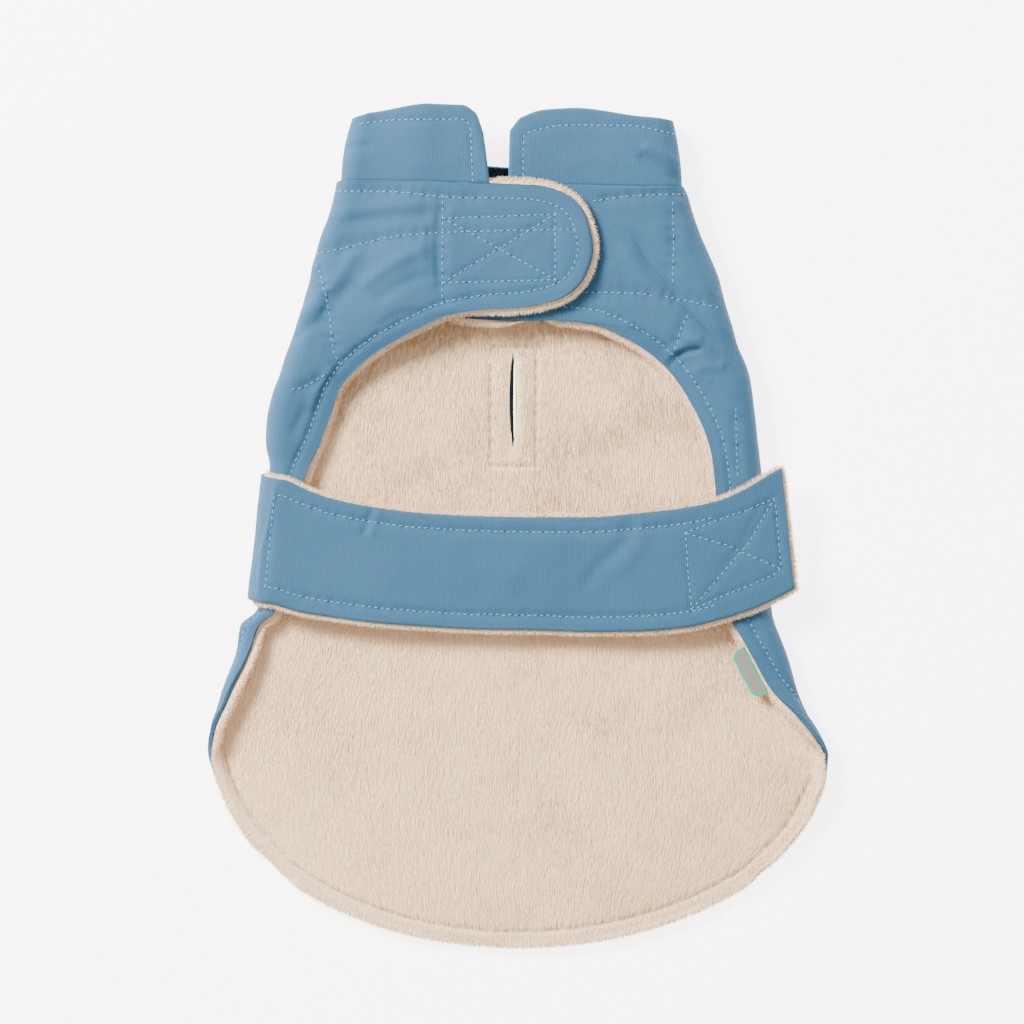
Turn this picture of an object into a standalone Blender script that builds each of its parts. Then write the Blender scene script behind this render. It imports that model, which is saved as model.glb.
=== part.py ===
"""Dog winter coat, laid on its back with the belly side up and both fastenings shut.

The quilted shell is one cut: a back panel whose two sides fold over as chest wings, meet at the
chest, and shrink to narrow turned-up edges along the tail. A plush lining follows it inside. A
standing collar, a belly strap and a small label are sewn on.

Frame: +X across the coat, +Y towards the collar, +Z up from the surface that it lies on. The
origin is under the middle of the outline, on that surface. The tables are in millimetres.
"""

import math
from collections import namedtuple

import bmesh
import bpy
import numpy as np

MM = 0.001

# Cloth, in millimetres.
SHELL_WALL = 2.0  # quilted cotton with its thin wadding
LINING_WALL = 3.0  # plush, pile included
SEAM_GAP = 0.3  # between pieces that are sewn together
WELD_DISTANCE = 0.01
LINING_ROLL = 2.0  # how far the plush rolls out past the shell's free edges
COLLAR_WALL = 3.6  # two layers of cotton and the stiffening between them
STRAP_LINING_WALL = 2.5
LABEL_WALL = 0.8

# Columns of quads round the body: each wing, each side curl, and the back.
WING_COLUMNS = 6
CURL_COLUMNS = 5
BACK_COLUMNS = 8
CURL_SHARE = 0.62  # of a side's length: its curl's columns keep within this much of a narrow side
RISE_LENGTH = 36.0  # beyond the curl, over which a wing climbs to the height of its edge
LEAST_RUN = 1.5  # of cloth beyond the curl
LEAST_TURN = 0.5  # degrees
FOLDED_OVER = 180  # degrees of turn where a side lies over the back
FOLD_CLEAR = 12.0  # the folds of a wing fade in over this length beyond the curl
ARC_OF_HEM = 0.761  # the hem's middle arc, as a share of the half width of its ellipse
TAIL_START = 20  # the section from which the rows begin to bend towards the hem's arc

# A section of one side: where its free edge lies, how much higher it is than the curl, where
# the outline is, how many degrees the cloth turns over there, and the length of that turn.
Side = namedtuple("Side", "edge_x edge_y lift outline_x outline_y turn arc")

LEFT = [
    Side(-15, 170.5, 6.0, -89.5, 172.0, 180, 31.4),
    Side(8, 169.5, 6.0, -90.5, 168.5, 180, 31.4),
    Side(26, 163.5, 6.0, -92.5, 161.0, 180, 31.4),
    Side(35.5, 152.0, 6.0, -95.0, 152.5, 180, 31.4),
    Side(38.5, 138.0, 6.0, -98.0, 145.0, 180, 31.4),
    Side(34.5, 124.0, 6.0, -100.5, 137.0, 180, 31.4),
    Side(22, 114.0, 6.0, -102.5, 130.0, 180, 31.4),
    Side(2, 109.0, 6.0, -104.0, 123.0, 180, 31.4),
    Side(-18, 107.5, 6.0, -106.0, 116.0, 180, 31.4),
    Side(-34, 105.0, 5.2, -108.0, 108.0, 180, 31.4),
    Side(-47, 99.5, 3.6, -110.5, 100.0, 180, 31.0),
    Side(-59, 93.5, 1.8, -113.0, 92.0, 180, 30.5),
    Side(-70, 87.0, -0.5, -116.0, 83.5, 180, 30.0),
    Side(-80, 79.0, -3.0, -119.0, 74.5, 180, 29.5),
    Side(-89, 68.5, -5.0, -122.0, 65.5, 180, 28.5),
    Side(-93.5, 56.0, -5.5, -124.2, 54.0, 180, 27.5),
    Side(-98.5, 42.0, -4.5, -125.2, 41.0, 180, 26.0),
    Side(-105, 28.0, -2.5, -123.3, 29.0, 180, 23.6),
    Side(-111, 6.0, -0.5, -124.2, 6.0, 180, 23.6),
    Side(-116.5, -17.0, -0.5, -126.4, -17.0, 180, 23.6),
    Side(-122, -41.5, 0.0, -129.6, -41.5, 180, 23.6),
    Side(-129.5, -50.0, 0.0, -138.2, -50.0, 175, 23.0),
    Side(-135, -63.0, 0.0, -140.6, -63.0, 155, 21.5),
    Side(-142, -77.0, 0.0, -145.6, -77.0, 140, 20.0),
    Side(-147.8, -90.0, 0.0, -150.2, -90.0, 125, 18.0),
    Side(-152.3, -101.0, 0.0, -153.6, -101.0, 105, 16.0),
    Side(-154.4, -112.0, 0.0, -154.4, -112.0, 80, 14.0),
    Side(-151.3, -124.7, 0.0, -151.3, -124.7, 50, 13.0),
    Side(-144.9, -138.7, 0.0, -144.9, -138.7, 25, 12.0),
    Side(-133.6, -154.7, 0.0, -133.6, -154.7, 8, 12.0),
    Side(-117, -172.0, 0.0, -117.0, -172.0, 0, 12.0),
]

RIGHT = [
    Side(-4, 170.5, -1.5, 82.5, 169.0, 180, 31.4),
    Side(-26, 168.0, -1.5, 84.5, 165.0, 180, 31.4),
    Side(-36, 162.0, -1.5, 87.0, 157.0, 180, 31.4),
    Side(-38, 150.0, -1.5, 90.0, 147.5, 180, 31.4),
    Side(-38, 138.0, -1.5, 93.5, 138.5, 180, 31.4),
    Side(-38, 124.0, -1.5, 97.0, 130.0, 180, 31.4),
    Side(-37, 111.5, -1.5, 100.0, 122.5, 180, 31.4),
    Side(-31, 104.5, -1.5, 102.5, 115.0, 180, 31.4),
    Side(-12, 102.7, -1.5, 105.0, 107.5, 180, 31.4),
    Side(12, 102.5, -1.5, 107.3, 99.5, 180, 31.4),
    Side(35, 101.0, -1.5, 109.5, 91.0, 180, 31.0),
    Side(52, 94.5, -2.0, 112.5, 83.0, 180, 30.5),
    Side(66, 86.0, -3.0, 115.0, 75.0, 180, 30.0),
    Side(77, 75.5, -4.0, 116.3, 66.5, 180, 29.5),
    Side(85.5, 63.0, -5.0, 117.3, 57.0, 180, 28.5),
    Side(92.5, 49.0, -5.0, 118.6, 45.0, 180, 27.5),
    Side(96.7, 35.0, -4.0, 120.3, 35.0, 180, 25.5),
    Side(98.6, 20.0, -2.0, 121.7, 22.0, 180, 23.6),
    Side(100.5, -3.0, -0.5, 123.0, -3.0, 180, 23.6),
    Side(102.5, -22.0, -0.5, 124.3, -22.0, 180, 23.6),
    Side(104.5, -42.0, 0.0, 126.5, -42.0, 180, 23.6),
    Side(111.5, -55.5, 0.0, 130.3, -55.5, 180, 23.6),
    Side(118.5, -68.0, 0.0, 134.8, -68.0, 180, 23.6),
    Side(127.5, -82.5, 0.0, 139.0, -82.0, 176, 22.8),
    Side(138.6, -93.0, 0.0, 144.0, -93.0, 148, 20.5),
    Side(147.6, -103.0, 0.0, 150.2, -103.0, 120, 18.0),
    Side(154.4, -114.5, 0.0, 154.4, -114.5, 85, 15.0),
    Side(153.6, -126.5, 0.0, 153.6, -126.5, 50, 13.0),
    Side(147.4, -140.6, 0.0, 147.4, -140.6, 25, 12.0),
    Side(135.6, -157.2, 0.0, 135.6, -157.2, 8, 12.0),
    Side(117, -174.5, 0.0, 117.0, -174.5, 0, 12.0),
]

# Where each section crosses the middle of the back, from the neck seam to the hem.
MIDDLE_Y = [
    143, 139.5, 134.5, 128, 121.5, 115.5, 110, 104.5, 98.5, 92, 85, 78, 70.5, 62.5, 53.5, 42.5,
    30, 15, -2, -21, -40, -55, -69, -83.5, -98, -112.5, -127.5, -144, -162.5, -184, -207.5,
]

# The largest folds of the wings: soft ridges, or troughs where the height is below zero.
Fold = namedtuple("Fold", "start_x start_y end_x end_y width height")
FOLD_FADE = 0.3  # of a fold's length, over which each of its ends comes up

FOLDS = [
    Fold(60, 146, 112, 74, 9, 2.5),  # along the right side, from the collar to the strap
    Fold(50, 136, 96, 92, 8, -1.5),
    Fold(75, 80, 104, 86, 7, -2.0),  # the pinch beside the leg opening
    Fold(-102, 106, -52, 146, 10, 2.0),  # across the left wing, up to the tab
    Fold(-80, 100, -46, 122, 8, -1.2),
]

# The collar stands up from the neck seam. Its height is given at the front ends, where it is
# rounded off, at the sides and at the middle of the back.
COLLAR_LEVELS = 4
COLLAR_GAP = 0.45  # measured along Y, so that the slanting back seam keeps SEAM_GAP
CollarHalf = namedtuple("CollarHalf", "end_x side_x height_at")
COLLAR_LEFT = CollarHalf(-17.5, -83.5, [(0, 25), (4, 34), (12, 38), (30, 38), (64, 33), (75, 31)])
COLLAR_RIGHT = CollarHalf(-3.5, 78.5, [(0, 26), (5, 32), (16, 36), (36, 37.5), (70, 34), (87, 33)])
COLLAR_BACK_HEIGHT = 35.0
COLLAR_TOP_DEPTH = 0.925  # from front to back at the top edge, as a share of that at the seam

# The belly strap, from where it has come up round the left side to its square right end.
Band = namedtuple("Band", "top_x top_y low_x low_y z")
STRAP_WRAP_START = -22  # degrees below the level of the curl's centre, where it is sewn on
STRAP_WRAP_COLUMNS = 6
STRAP_ROW = 18  # the section of the body whose curl the strap goes round
STRAP_WIDTH_COLUMNS = 3
STRAP_WRAP_ENDS = [(-116.0, 22.5, -122.2, -38.5), (-116.0, 26.0, -122.2, -35.5)]
STRAP = [
    Band(-105, 17.5, -108, -42.5, 20.4),
    Band(-90, 12.5, -92, -45.0, 20.2),
    Band(-72, 9.0, -73, -47.5, 19.7),
    Band(-48, 6.0, -48, -49.5, 18.9),
    Band(-20, 4.5, -20, -51.0, 18.2),
    Band(8, 4.0, 8, -51.5, 18.0),
    Band(36, 4.0, 36, -52.3, 18.4),
    Band(60, 6.0, 61, -52.0, 19.3),
    Band(82, 8.5, 84, -50.0, 20.4),
    Band(99, 12.0, 101, -46.0, 20.8),
    Band(115, 19.0, 118, -40.5, 20.8),
    Band(124, 24.5, 129, -35.5, 20.3),
    Band(131, 28.5, 137.5, -31.0, 19.6),
]

# The leash slit in the middle of the back.
SLIT_CENTRE = (-2.5, 63.0)
SLIT_LENGTH = 48.0
SLIT_WIDTH = 5.6
SLIT_STEPS = 8  # straight lines along each of its lips
SLIT_CUTTER_HALF_HEIGHT = 15.0

# The woven label, sewn under the right edge of the tail.
LABEL_LOW_END = (124.6, -83.0)
LABEL_HIGH_END = (112.6, -60.3)
LABEL_DEPTH = 7.5
LABEL_CORNER = 4.5
LABEL_CORNER_STEPS = 4
LABEL_SEAM_HEIGHT = 13.6  # of its middle plane, at the seam
LABEL_DROOP = 12  # degrees

COLOURS = {
    "shell_cotton": ((0.155, 0.325, 0.475, 1.0), 0.85),
    "plush": ((0.76, 0.63, 0.50, 1.0), 0.95),
    "label": ((0.16, 0.60, 0.42, 1.0), 0.7),
}


def clear_scene():
    for old in list(bpy.data.objects):
        bpy.data.objects.remove(old, do_unlink=True)


def new_collection(name):
    collection = bpy.data.collections.new(name)
    bpy.context.scene.collection.children.link(collection)
    return collection


def new_material(name, finish):
    colour, roughness = COLOURS[finish]
    material = bpy.data.materials.new(name)
    material.use_nodes = True
    shader = material.node_tree.nodes["Principled BSDF"]
    shader.inputs["Base Color"].default_value = colour
    shader.inputs["Roughness"].default_value = roughness
    shader.inputs["Metallic"].default_value = 0.0
    return material


def smooth(t):
    t = np.clip(t, 0, 1)
    return t * t * (3 - 2 * t)


def hem_arc(t):
    """1 in the middle of a row and 0 at its sides, in the shape of the hem's middle arc."""
    rim = math.sqrt(1 - ARC_OF_HEM**2)
    return (np.sqrt(1 - (np.clip(np.abs(t), 0, 1) * ARC_OF_HEM) ** 2) - rim) / (1 - rim)


def turn_of(side):
    return math.radians(max(side.turn, LEAST_TURN))


def curl_radius(side):
    return side.arc / turn_of(side)


def flat_end(side):
    """How far from the middle the back stays flat, before the cloth begins to turn up."""
    turn = min(turn_of(side), math.pi / 2)
    past_curl = LEAST_RUN * max(math.cos(turn), 0)
    return abs(side.outline_x) - curl_radius(side) * math.sin(turn) - past_curl


def side_points(side, sign):
    """Points of one side, from the flat of the back, round the curl and out to the free edge."""
    radius, turn = curl_radius(side), turn_of(side)
    curl_out = flat_end(side) + radius * math.sin(turn)
    run = max(abs(sign * curl_out - side.edge_x), LEAST_RUN)
    if side.turn < 90:
        run = LEAST_RUN
    length = side.arc + run
    knot = min(side.arc, CURL_SHARE * length)
    s = np.concatenate([
        np.linspace(0, knot, CURL_COLUMNS + 1),
        np.linspace(knot, length, WING_COLUMNS + 1)[1:],
    ])
    on_curl = np.minimum(s, side.arc) / radius
    beyond = np.maximum(s - side.arc, 0)
    out = flat_end(side) + radius * np.sin(on_curl) + beyond * math.cos(turn)
    up = radius * (1 - np.cos(on_curl)) + beyond * math.sin(turn)
    up += side.lift * smooth(beyond / RISE_LENGTH)
    y = side.outline_y + (side.edge_y - side.outline_y) * smooth(beyond / run)
    points = np.stack([sign * out, y, up], axis=1)
    if side.turn == FOLDED_OVER:
        points[:, 2] += fold_height(points) * smooth(beyond / FOLD_CLEAR)
    return points


def fold_height(points):
    """The height that the folds add at each point of a wing."""
    height = np.zeros(len(points))
    for fold in FOLDS:
        start = np.array([fold.start_x, fold.start_y])
        run = np.array([fold.end_x, fold.end_y]) - start
        along = (points[:, :2] - start) @ run / (run @ run)
        across = np.linalg.norm(points[:, :2] - start - np.clip(along, 0, 1)[:, None] * run, axis=1)
        fade = smooth(along / FOLD_FADE + FOLD_FADE) * smooth((1 - along) / FOLD_FADE + FOLD_FADE)
        height += fold.height * fade * np.exp(-((across / fold.width) ** 2))
    return height


def body_section(k):
    """One row of the body's outer surface, from the left free edge to the right one."""
    left, right = LEFT[k], RIGHT[k]
    t = np.linspace(-1, 1, BACK_COLUMNS + 1)[1:-1]
    x = np.where(t < 0, t * flat_end(left), t * flat_end(right))
    back = np.stack([x, np.zeros(len(x)), np.zeros(len(x))], axis=1)
    row = np.vstack([side_points(left, -1)[::-1], back, side_points(right, 1)])

    # The row dips from its two sides to the middle, and near the hem the curls dip with it.
    bend = smooth((k - TAIL_START) / (len(LEFT) - 1 - TAIL_START))
    ends = [
        flat_end(side) + bend * (abs(side.outline_x) - flat_end(side)) for side in (left, right)
    ]
    share = np.where(row[:, 0] < 0, row[:, 0] / ends[0], row[:, 0] / ends[1])
    side_y = left.outline_y + (right.outline_y - left.outline_y) * (np.clip(share, -1, 1) + 1) / 2
    dipped = side_y + (MIDDLE_Y[k] - side_y) * hem_arc(share)
    folded_over = np.zeros(len(row), bool)
    folded_over[:WING_COLUMNS] = left.turn > 90
    folded_over[len(row) - WING_COLUMNS :] = right.turn > 90
    row[:, 1] = np.where(folded_over, row[:, 1], dipped)
    return row


def grid_mesh(name, grid):
    """A surface of quads over a grid of points. Its faces point out of the coat."""
    rows, columns = grid.shape[:2]
    faces = [
        (k * columns + j, k * columns + j + 1, (k + 1) * columns + j + 1, (k + 1) * columns + j)
        for k in range(rows - 1)
        for j in range(columns - 1)
    ]
    mesh = bpy.data.meshes.new(name)
    mesh.from_pydata((grid.reshape(-1, 3) * MM).tolist(), [], faces)
    mesh.update()
    return mesh


def moved_in(grid, depth):
    """The same grid, moved to the inner side of the cloth by depth."""
    mesh = grid_mesh("guide", grid)
    normals = np.array([vertex.normal[:] for vertex in mesh.vertices]).reshape(grid.shape)
    bpy.data.meshes.remove(mesh)
    return grid - depth * normals


def rolled_out(grid, rim, reach):
    """The grid with the points of a rim, given in order, moved outwards in the run of the cloth."""
    mesh = grid_mesh("guide", grid)
    columns = grid.shape[1]
    normals = np.array([mesh.vertices[k * columns + j].normal[:] for k, j in rim])
    bpy.data.meshes.remove(mesh)
    line = np.array([grid[k, j] for k, j in rim])
    out = np.cross(normals, np.gradient(line, axis=0))
    out /= np.linalg.norm(out, axis=1)[:, None]
    grid = grid.copy()
    for (k, j), point, way in zip(rim, line, out):
        grid[k, j] = point + reach * way
    return grid


def cloth(name, grid, wall, finish, collection):
    """A wall of cloth whose outer face is the grid."""
    obj = bpy.data.objects.new(name, grid_mesh(name, grid))
    obj.data.materials.append(new_material(name, finish))
    obj.data.shade_smooth()
    collection.objects.link(obj)
    wall_of = obj.modifiers.new("wall", "SOLIDIFY")
    wall_of.thickness = wall * MM
    wall_of.offset = -1
    wall_of.use_even_offset = False
    return obj


def flat_piece(name, outline, wall):
    """A flat piece with this outline, half its wall on each side of its own XY plane."""
    curve = bpy.data.curves.new(name, "CURVE")
    curve.dimensions = "2D"
    curve.fill_mode = "BOTH"
    curve.extrude = wall / 2 * MM
    spline = curve.splines.new("POLY")
    spline.points.add(len(outline) - 1)
    for point, (x, y) in zip(spline.points, outline):
        point.co = (x * MM, y * MM, 0, 1)
    spline.use_cyclic_u = True
    return bpy.data.objects.new(name, curve)


def slit_cutter(collection):
    """A prism with the outline of a slit that is a little open: two arcs that meet in points."""
    half, bulge = SLIT_LENGTH / 2, SLIT_WIDTH / 2
    steps = np.linspace(-1, 1, SLIT_STEPS + 1)
    right = [(bulge * (1 - s * s), half * s) for s in steps]
    outline = right + [(-x, y) for x, y in right[-2:0:-1]]
    guide = flat_piece("slit_outline", outline, 2 * SLIT_CUTTER_HALF_HEIGHT)
    collection.objects.link(guide)
    bpy.context.view_layer.update()
    evaluated = guide.evaluated_get(bpy.context.evaluated_depsgraph_get())
    mesh = bpy.data.meshes.new_from_object(evaluated)
    bpy.data.objects.remove(guide, do_unlink=True)
    cutter = bpy.data.objects.new("slit_cutter", mesh)
    collection.objects.link(cutter)
    weld(mesh)
    cutter.location = (SLIT_CENTRE[0] * MM, SLIT_CENTRE[1] * MM, 0)
    cutter.hide_render = True
    cutter.display_type = "WIRE"
    return cutter


def weld(mesh):
    work = bmesh.new()
    work.from_mesh(mesh)
    bmesh.ops.remove_doubles(work, verts=work.verts, dist=WELD_DISTANCE * MM)
    bmesh.ops.recalc_face_normals(work, faces=work.faces)
    work.to_mesh(mesh)
    work.free()


def cut_slit(obj, cutter):
    cut = obj.modifiers.new("leash_slit", "BOOLEAN")
    cut.operation = "DIFFERENCE"
    cut.solver = "EXACT"
    cut.object = cutter


def build_body(collection, cutter):
    outer = np.array([body_section(k) for k in range(len(LEFT))])
    shell = cloth("body_shell", outer, SHELL_WALL, "shell_cotton", collection)
    inside = moved_in(outer, SHELL_WALL + SEAM_GAP)
    last_row, last_column = len(outer) - 1, outer.shape[1] - 1
    free_edge = [(k, 0) for k in range(1, last_row)]
    free_edge += [(last_row, j) for j in range(last_column)]
    free_edge += [(k, last_column) for k in range(last_row, 0, -1)]
    inside = rolled_out(inside, free_edge, LINING_ROLL)
    lining = cloth("body_lining", inside, LINING_WALL, "plush", collection)
    for obj in (shell, lining):
        cut_slit(obj, cutter)
    return outer


def collar_top(seam):
    """The collar's top edge, above each point of the neck seam."""
    top = seam.copy()
    last = len(seam) - 1
    on_side = WING_COLUMNS + CURL_COLUMNS
    for j, (x, y, z) in enumerate(seam):
        if j < last / 2 and x < 0:
            half, side, end_x = COLLAR_LEFT, LEFT[0], seam[0][0]
        else:
            half, side, end_x = COLLAR_RIGHT, RIGHT[0], seam[-1][0]
        reach, height = zip(*half.height_at)
        if on_side <= j <= last - on_side:
            top_x = x * half.side_x / side.outline_x
            rise = height[-1] + (COLLAR_BACK_HEIGHT - height[-1]) * hem_arc(x / flat_end(side))
        else:
            share = (x - end_x) / (side.outline_x - end_x)
            top_x = half.end_x + share * (half.side_x - half.end_x)
            rise = np.interp(abs(x - end_x), reach, height)
        top[j] = (top_x, y + rise, z * COLLAR_TOP_DEPTH)
    return top


def build_collar(outer, collection):
    inset = (SHELL_WALL + SEAM_GAP + LINING_WALL - COLLAR_WALL) / 2
    seam = moved_in(outer, inset)[0] + np.array([0, COLLAR_GAP, 0])
    top = collar_top(seam)
    levels = np.linspace(1, 0, COLLAR_LEVELS + 1)[:, None, None]
    band = seam + (top - seam) * levels
    cloth("collar", band, COLLAR_WALL, "shell_cotton", collection)


def strap_section(top_x, top_y, low_x, low_y, z):
    t = np.linspace(0, 1, STRAP_WIDTH_COLUMNS + 1)[:, None]
    top, low = np.array([top_x, top_y, z]), np.array([low_x, low_y, z])
    return top + (low - top) * t


def build_strap(collection):
    """The strap comes up round the left curl and goes straight over to the right side."""
    wall = SHELL_WALL + SEAM_GAP + STRAP_LINING_WALL
    curl = curl_radius(LEFT[STRAP_ROW])
    radius = curl + SEAM_GAP + wall
    sections = []
    sewn, turned = STRAP_WRAP_ENDS[1], STRAP_WRAP_ENDS[0]
    for step in range(STRAP_WRAP_COLUMNS + 1):
        share = step / STRAP_WRAP_COLUMNS
        angle = math.radians(STRAP_WRAP_START + (90 - STRAP_WRAP_START) * share)
        top_x, top_y, low_x, low_y = (a + (b - a) * share for a, b in zip(sewn, turned))
        back = radius * math.cos(angle)
        z = curl + radius * math.sin(angle)
        sections.append(strap_section(top_x - back, top_y, low_x - back, low_y, z))
    sections += [strap_section(*band) for band in STRAP]
    # Rows run along the strap and columns across it, with its outer face up.
    grid = np.array(sections).transpose(1, 0, 2)[::-1]
    cloth("strap_shell", grid, SHELL_WALL, "shell_cotton", collection)
    under = moved_in(grid, SHELL_WALL + SEAM_GAP)
    last_row, last_column = len(grid) - 1, grid.shape[1] - 1
    edge = [(last_row, j) for j in range(last_column)]
    edge += [(k, last_column) for k in range(last_row, 0, -1)]
    edge += [(0, j) for j in range(last_column, -1, -1)]
    under = rolled_out(under, edge, LINING_ROLL)
    cloth("strap_lining", under, STRAP_LINING_WALL, "plush", collection)


def build_label(collection):
    """A woven label with two round corners. Its straight side is in the seam of the edge."""
    start, end = np.array(LABEL_LOW_END), np.array(LABEL_HIGH_END)
    length = np.linalg.norm(end - start)
    turn = np.linspace(0, math.pi / 2, LABEL_CORNER_STEPS + 1)
    round_corner = [
        (LABEL_CORNER * (1 - math.cos(a)), LABEL_DEPTH - LABEL_CORNER * (1 - math.sin(a)))
        for a in turn
    ]
    other_corner = [(length - x, y) for x, y in round_corner[::-1]]
    label = flat_piece("label", [(0, 0)] + round_corner + other_corner + [(length, 0)], LABEL_WALL)
    label.data.materials.append(new_material("label", "label"))
    label.location = (start[0] * MM, start[1] * MM, LABEL_SEAM_HEIGHT * MM)
    heading = math.atan2(*(end - start)[::-1])
    label.rotation_euler = (-math.radians(LABEL_DROOP), 0, heading)
    collection.objects.link(label)


def main():
    clear_scene()
    coat = new_collection("dog_winter_coat")
    cutters = new_collection("cutters")
    cutter = slit_cutter(cutters)
    outer = build_body(coat, cutter)
    build_collar(outer, coat)
    build_strap(coat)
    build_label(coat)


main()
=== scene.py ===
import math
from collections import namedtuple
from functools import lru_cache

import bmesh
import bpy
import numpy as np
from bpy.props import FloatProperty, FloatVectorProperty, IntProperty, PointerProperty
from mathutils import Euler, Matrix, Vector, noise
from mathutils.bvhtree import BVHTree


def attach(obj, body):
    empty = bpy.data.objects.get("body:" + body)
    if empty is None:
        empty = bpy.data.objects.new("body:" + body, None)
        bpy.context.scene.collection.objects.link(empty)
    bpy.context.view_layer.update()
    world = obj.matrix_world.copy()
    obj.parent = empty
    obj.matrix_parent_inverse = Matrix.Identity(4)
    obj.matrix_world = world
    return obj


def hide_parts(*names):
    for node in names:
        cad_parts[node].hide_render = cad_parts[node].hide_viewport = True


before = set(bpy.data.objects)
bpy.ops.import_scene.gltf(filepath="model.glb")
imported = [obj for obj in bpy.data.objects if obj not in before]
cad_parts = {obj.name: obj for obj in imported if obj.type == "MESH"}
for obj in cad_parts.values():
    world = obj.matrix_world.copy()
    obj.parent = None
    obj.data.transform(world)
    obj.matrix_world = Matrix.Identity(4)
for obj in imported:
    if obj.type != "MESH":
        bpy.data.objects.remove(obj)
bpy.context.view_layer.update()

bl_info = {
    "name": "Dog winter coat",
    "version": (1, 0, 0),
    "blender": (4, 5, 0),
    "location": "View3D > Sidebar > Coat",
    "description": "Quilted dog coat with a plush lining, laid on its back",
    "category": "Object",
}

MM = 0.001

# ---------------------------------------------------------------------------------------------
# The cut of the body, in millimetres, as in the part: where each section's free edge and outline
# lie, how much higher its edge is than its curl, and how the cloth turns over at the outline.

Side = namedtuple("Side", "edge_x edge_y lift outline_x outline_y turn arc")

LEFT = [
    Side(-15, 170.5, 6.0, -89.5, 172.0, 180, 31.4),
    Side(8, 169.5, 6.0, -90.5, 168.5, 180, 31.4),
    Side(26, 163.5, 6.0, -92.5, 161.0, 180, 31.4),
    Side(34.2, 152.0, 6.0, -95.0, 152.5, 180, 31.4),
    Side(37.0, 138.0, 6.0, -98.0, 145.0, 180, 31.4),
    Side(33.2, 124.4, 6.0, -100.5, 137.0, 180, 31.4),
    Side(22, 114.0, 6.0, -102.5, 130.0, 180, 31.4),
    Side(2, 109.0, 6.0, -104.0, 123.0, 180, 31.4),
    Side(-18, 107.5, 6.0, -106.0, 116.0, 180, 31.4),
    Side(-34, 105.0, 5.2, -108.0, 108.0, 180, 31.4),
    Side(-47, 99.5, 3.6, -110.5, 100.0, 180, 31.0),
    Side(-59, 93.5, 1.8, -113.0, 92.0, 180, 30.5),
    Side(-70, 87.0, -0.5, -116.0, 83.5, 180, 30.0),
    Side(-80, 79.0, -3.0, -119.0, 74.5, 180, 29.5),
    Side(-89, 68.5, -5.0, -122.0, 65.5, 180, 28.5),
    Side(-93.5, 56.0, -5.5, -124.2, 54.0, 180, 27.5),
    Side(-98.5, 42.0, -4.5, -125.2, 41.0, 180, 26.0),
    Side(-105, 28.0, -2.5, -123.3, 29.0, 180, 23.6),
    Side(-111, 6.0, -0.5, -124.2, 6.0, 180, 23.6),
    Side(-116.5, -17.0, -0.5, -126.4, -17.0, 180, 23.6),
    Side(-122, -41.5, 0.0, -129.6, -41.5, 180, 23.6),
    Side(-129.5, -50.0, 0.0, -138.2, -50.0, 175, 23.0),
    Side(-135, -63.0, 0.0, -140.6, -63.0, 155, 21.5),
    Side(-142, -77.0, 0.0, -145.6, -77.0, 140, 20.0),
    Side(-147.8, -90.0, 0.0, -150.2, -90.0, 125, 18.0),
    Side(-152.3, -101.0, 0.0, -153.6, -101.0, 105, 16.0),
    Side(-154.4, -112.0, 0.0, -154.4, -112.0, 80, 14.0),
    Side(-151.3, -124.7, 0.0, -151.3, -124.7, 50, 13.0),
    Side(-144.9, -138.7, 0.0, -144.9, -138.7, 25, 12.0),
    Side(-133.6, -154.7, 0.0, -133.6, -154.7, 8, 12.0),
    Side(-117, -172.0, 0.0, -117.0, -172.0, 0, 12.0),
]

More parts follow.
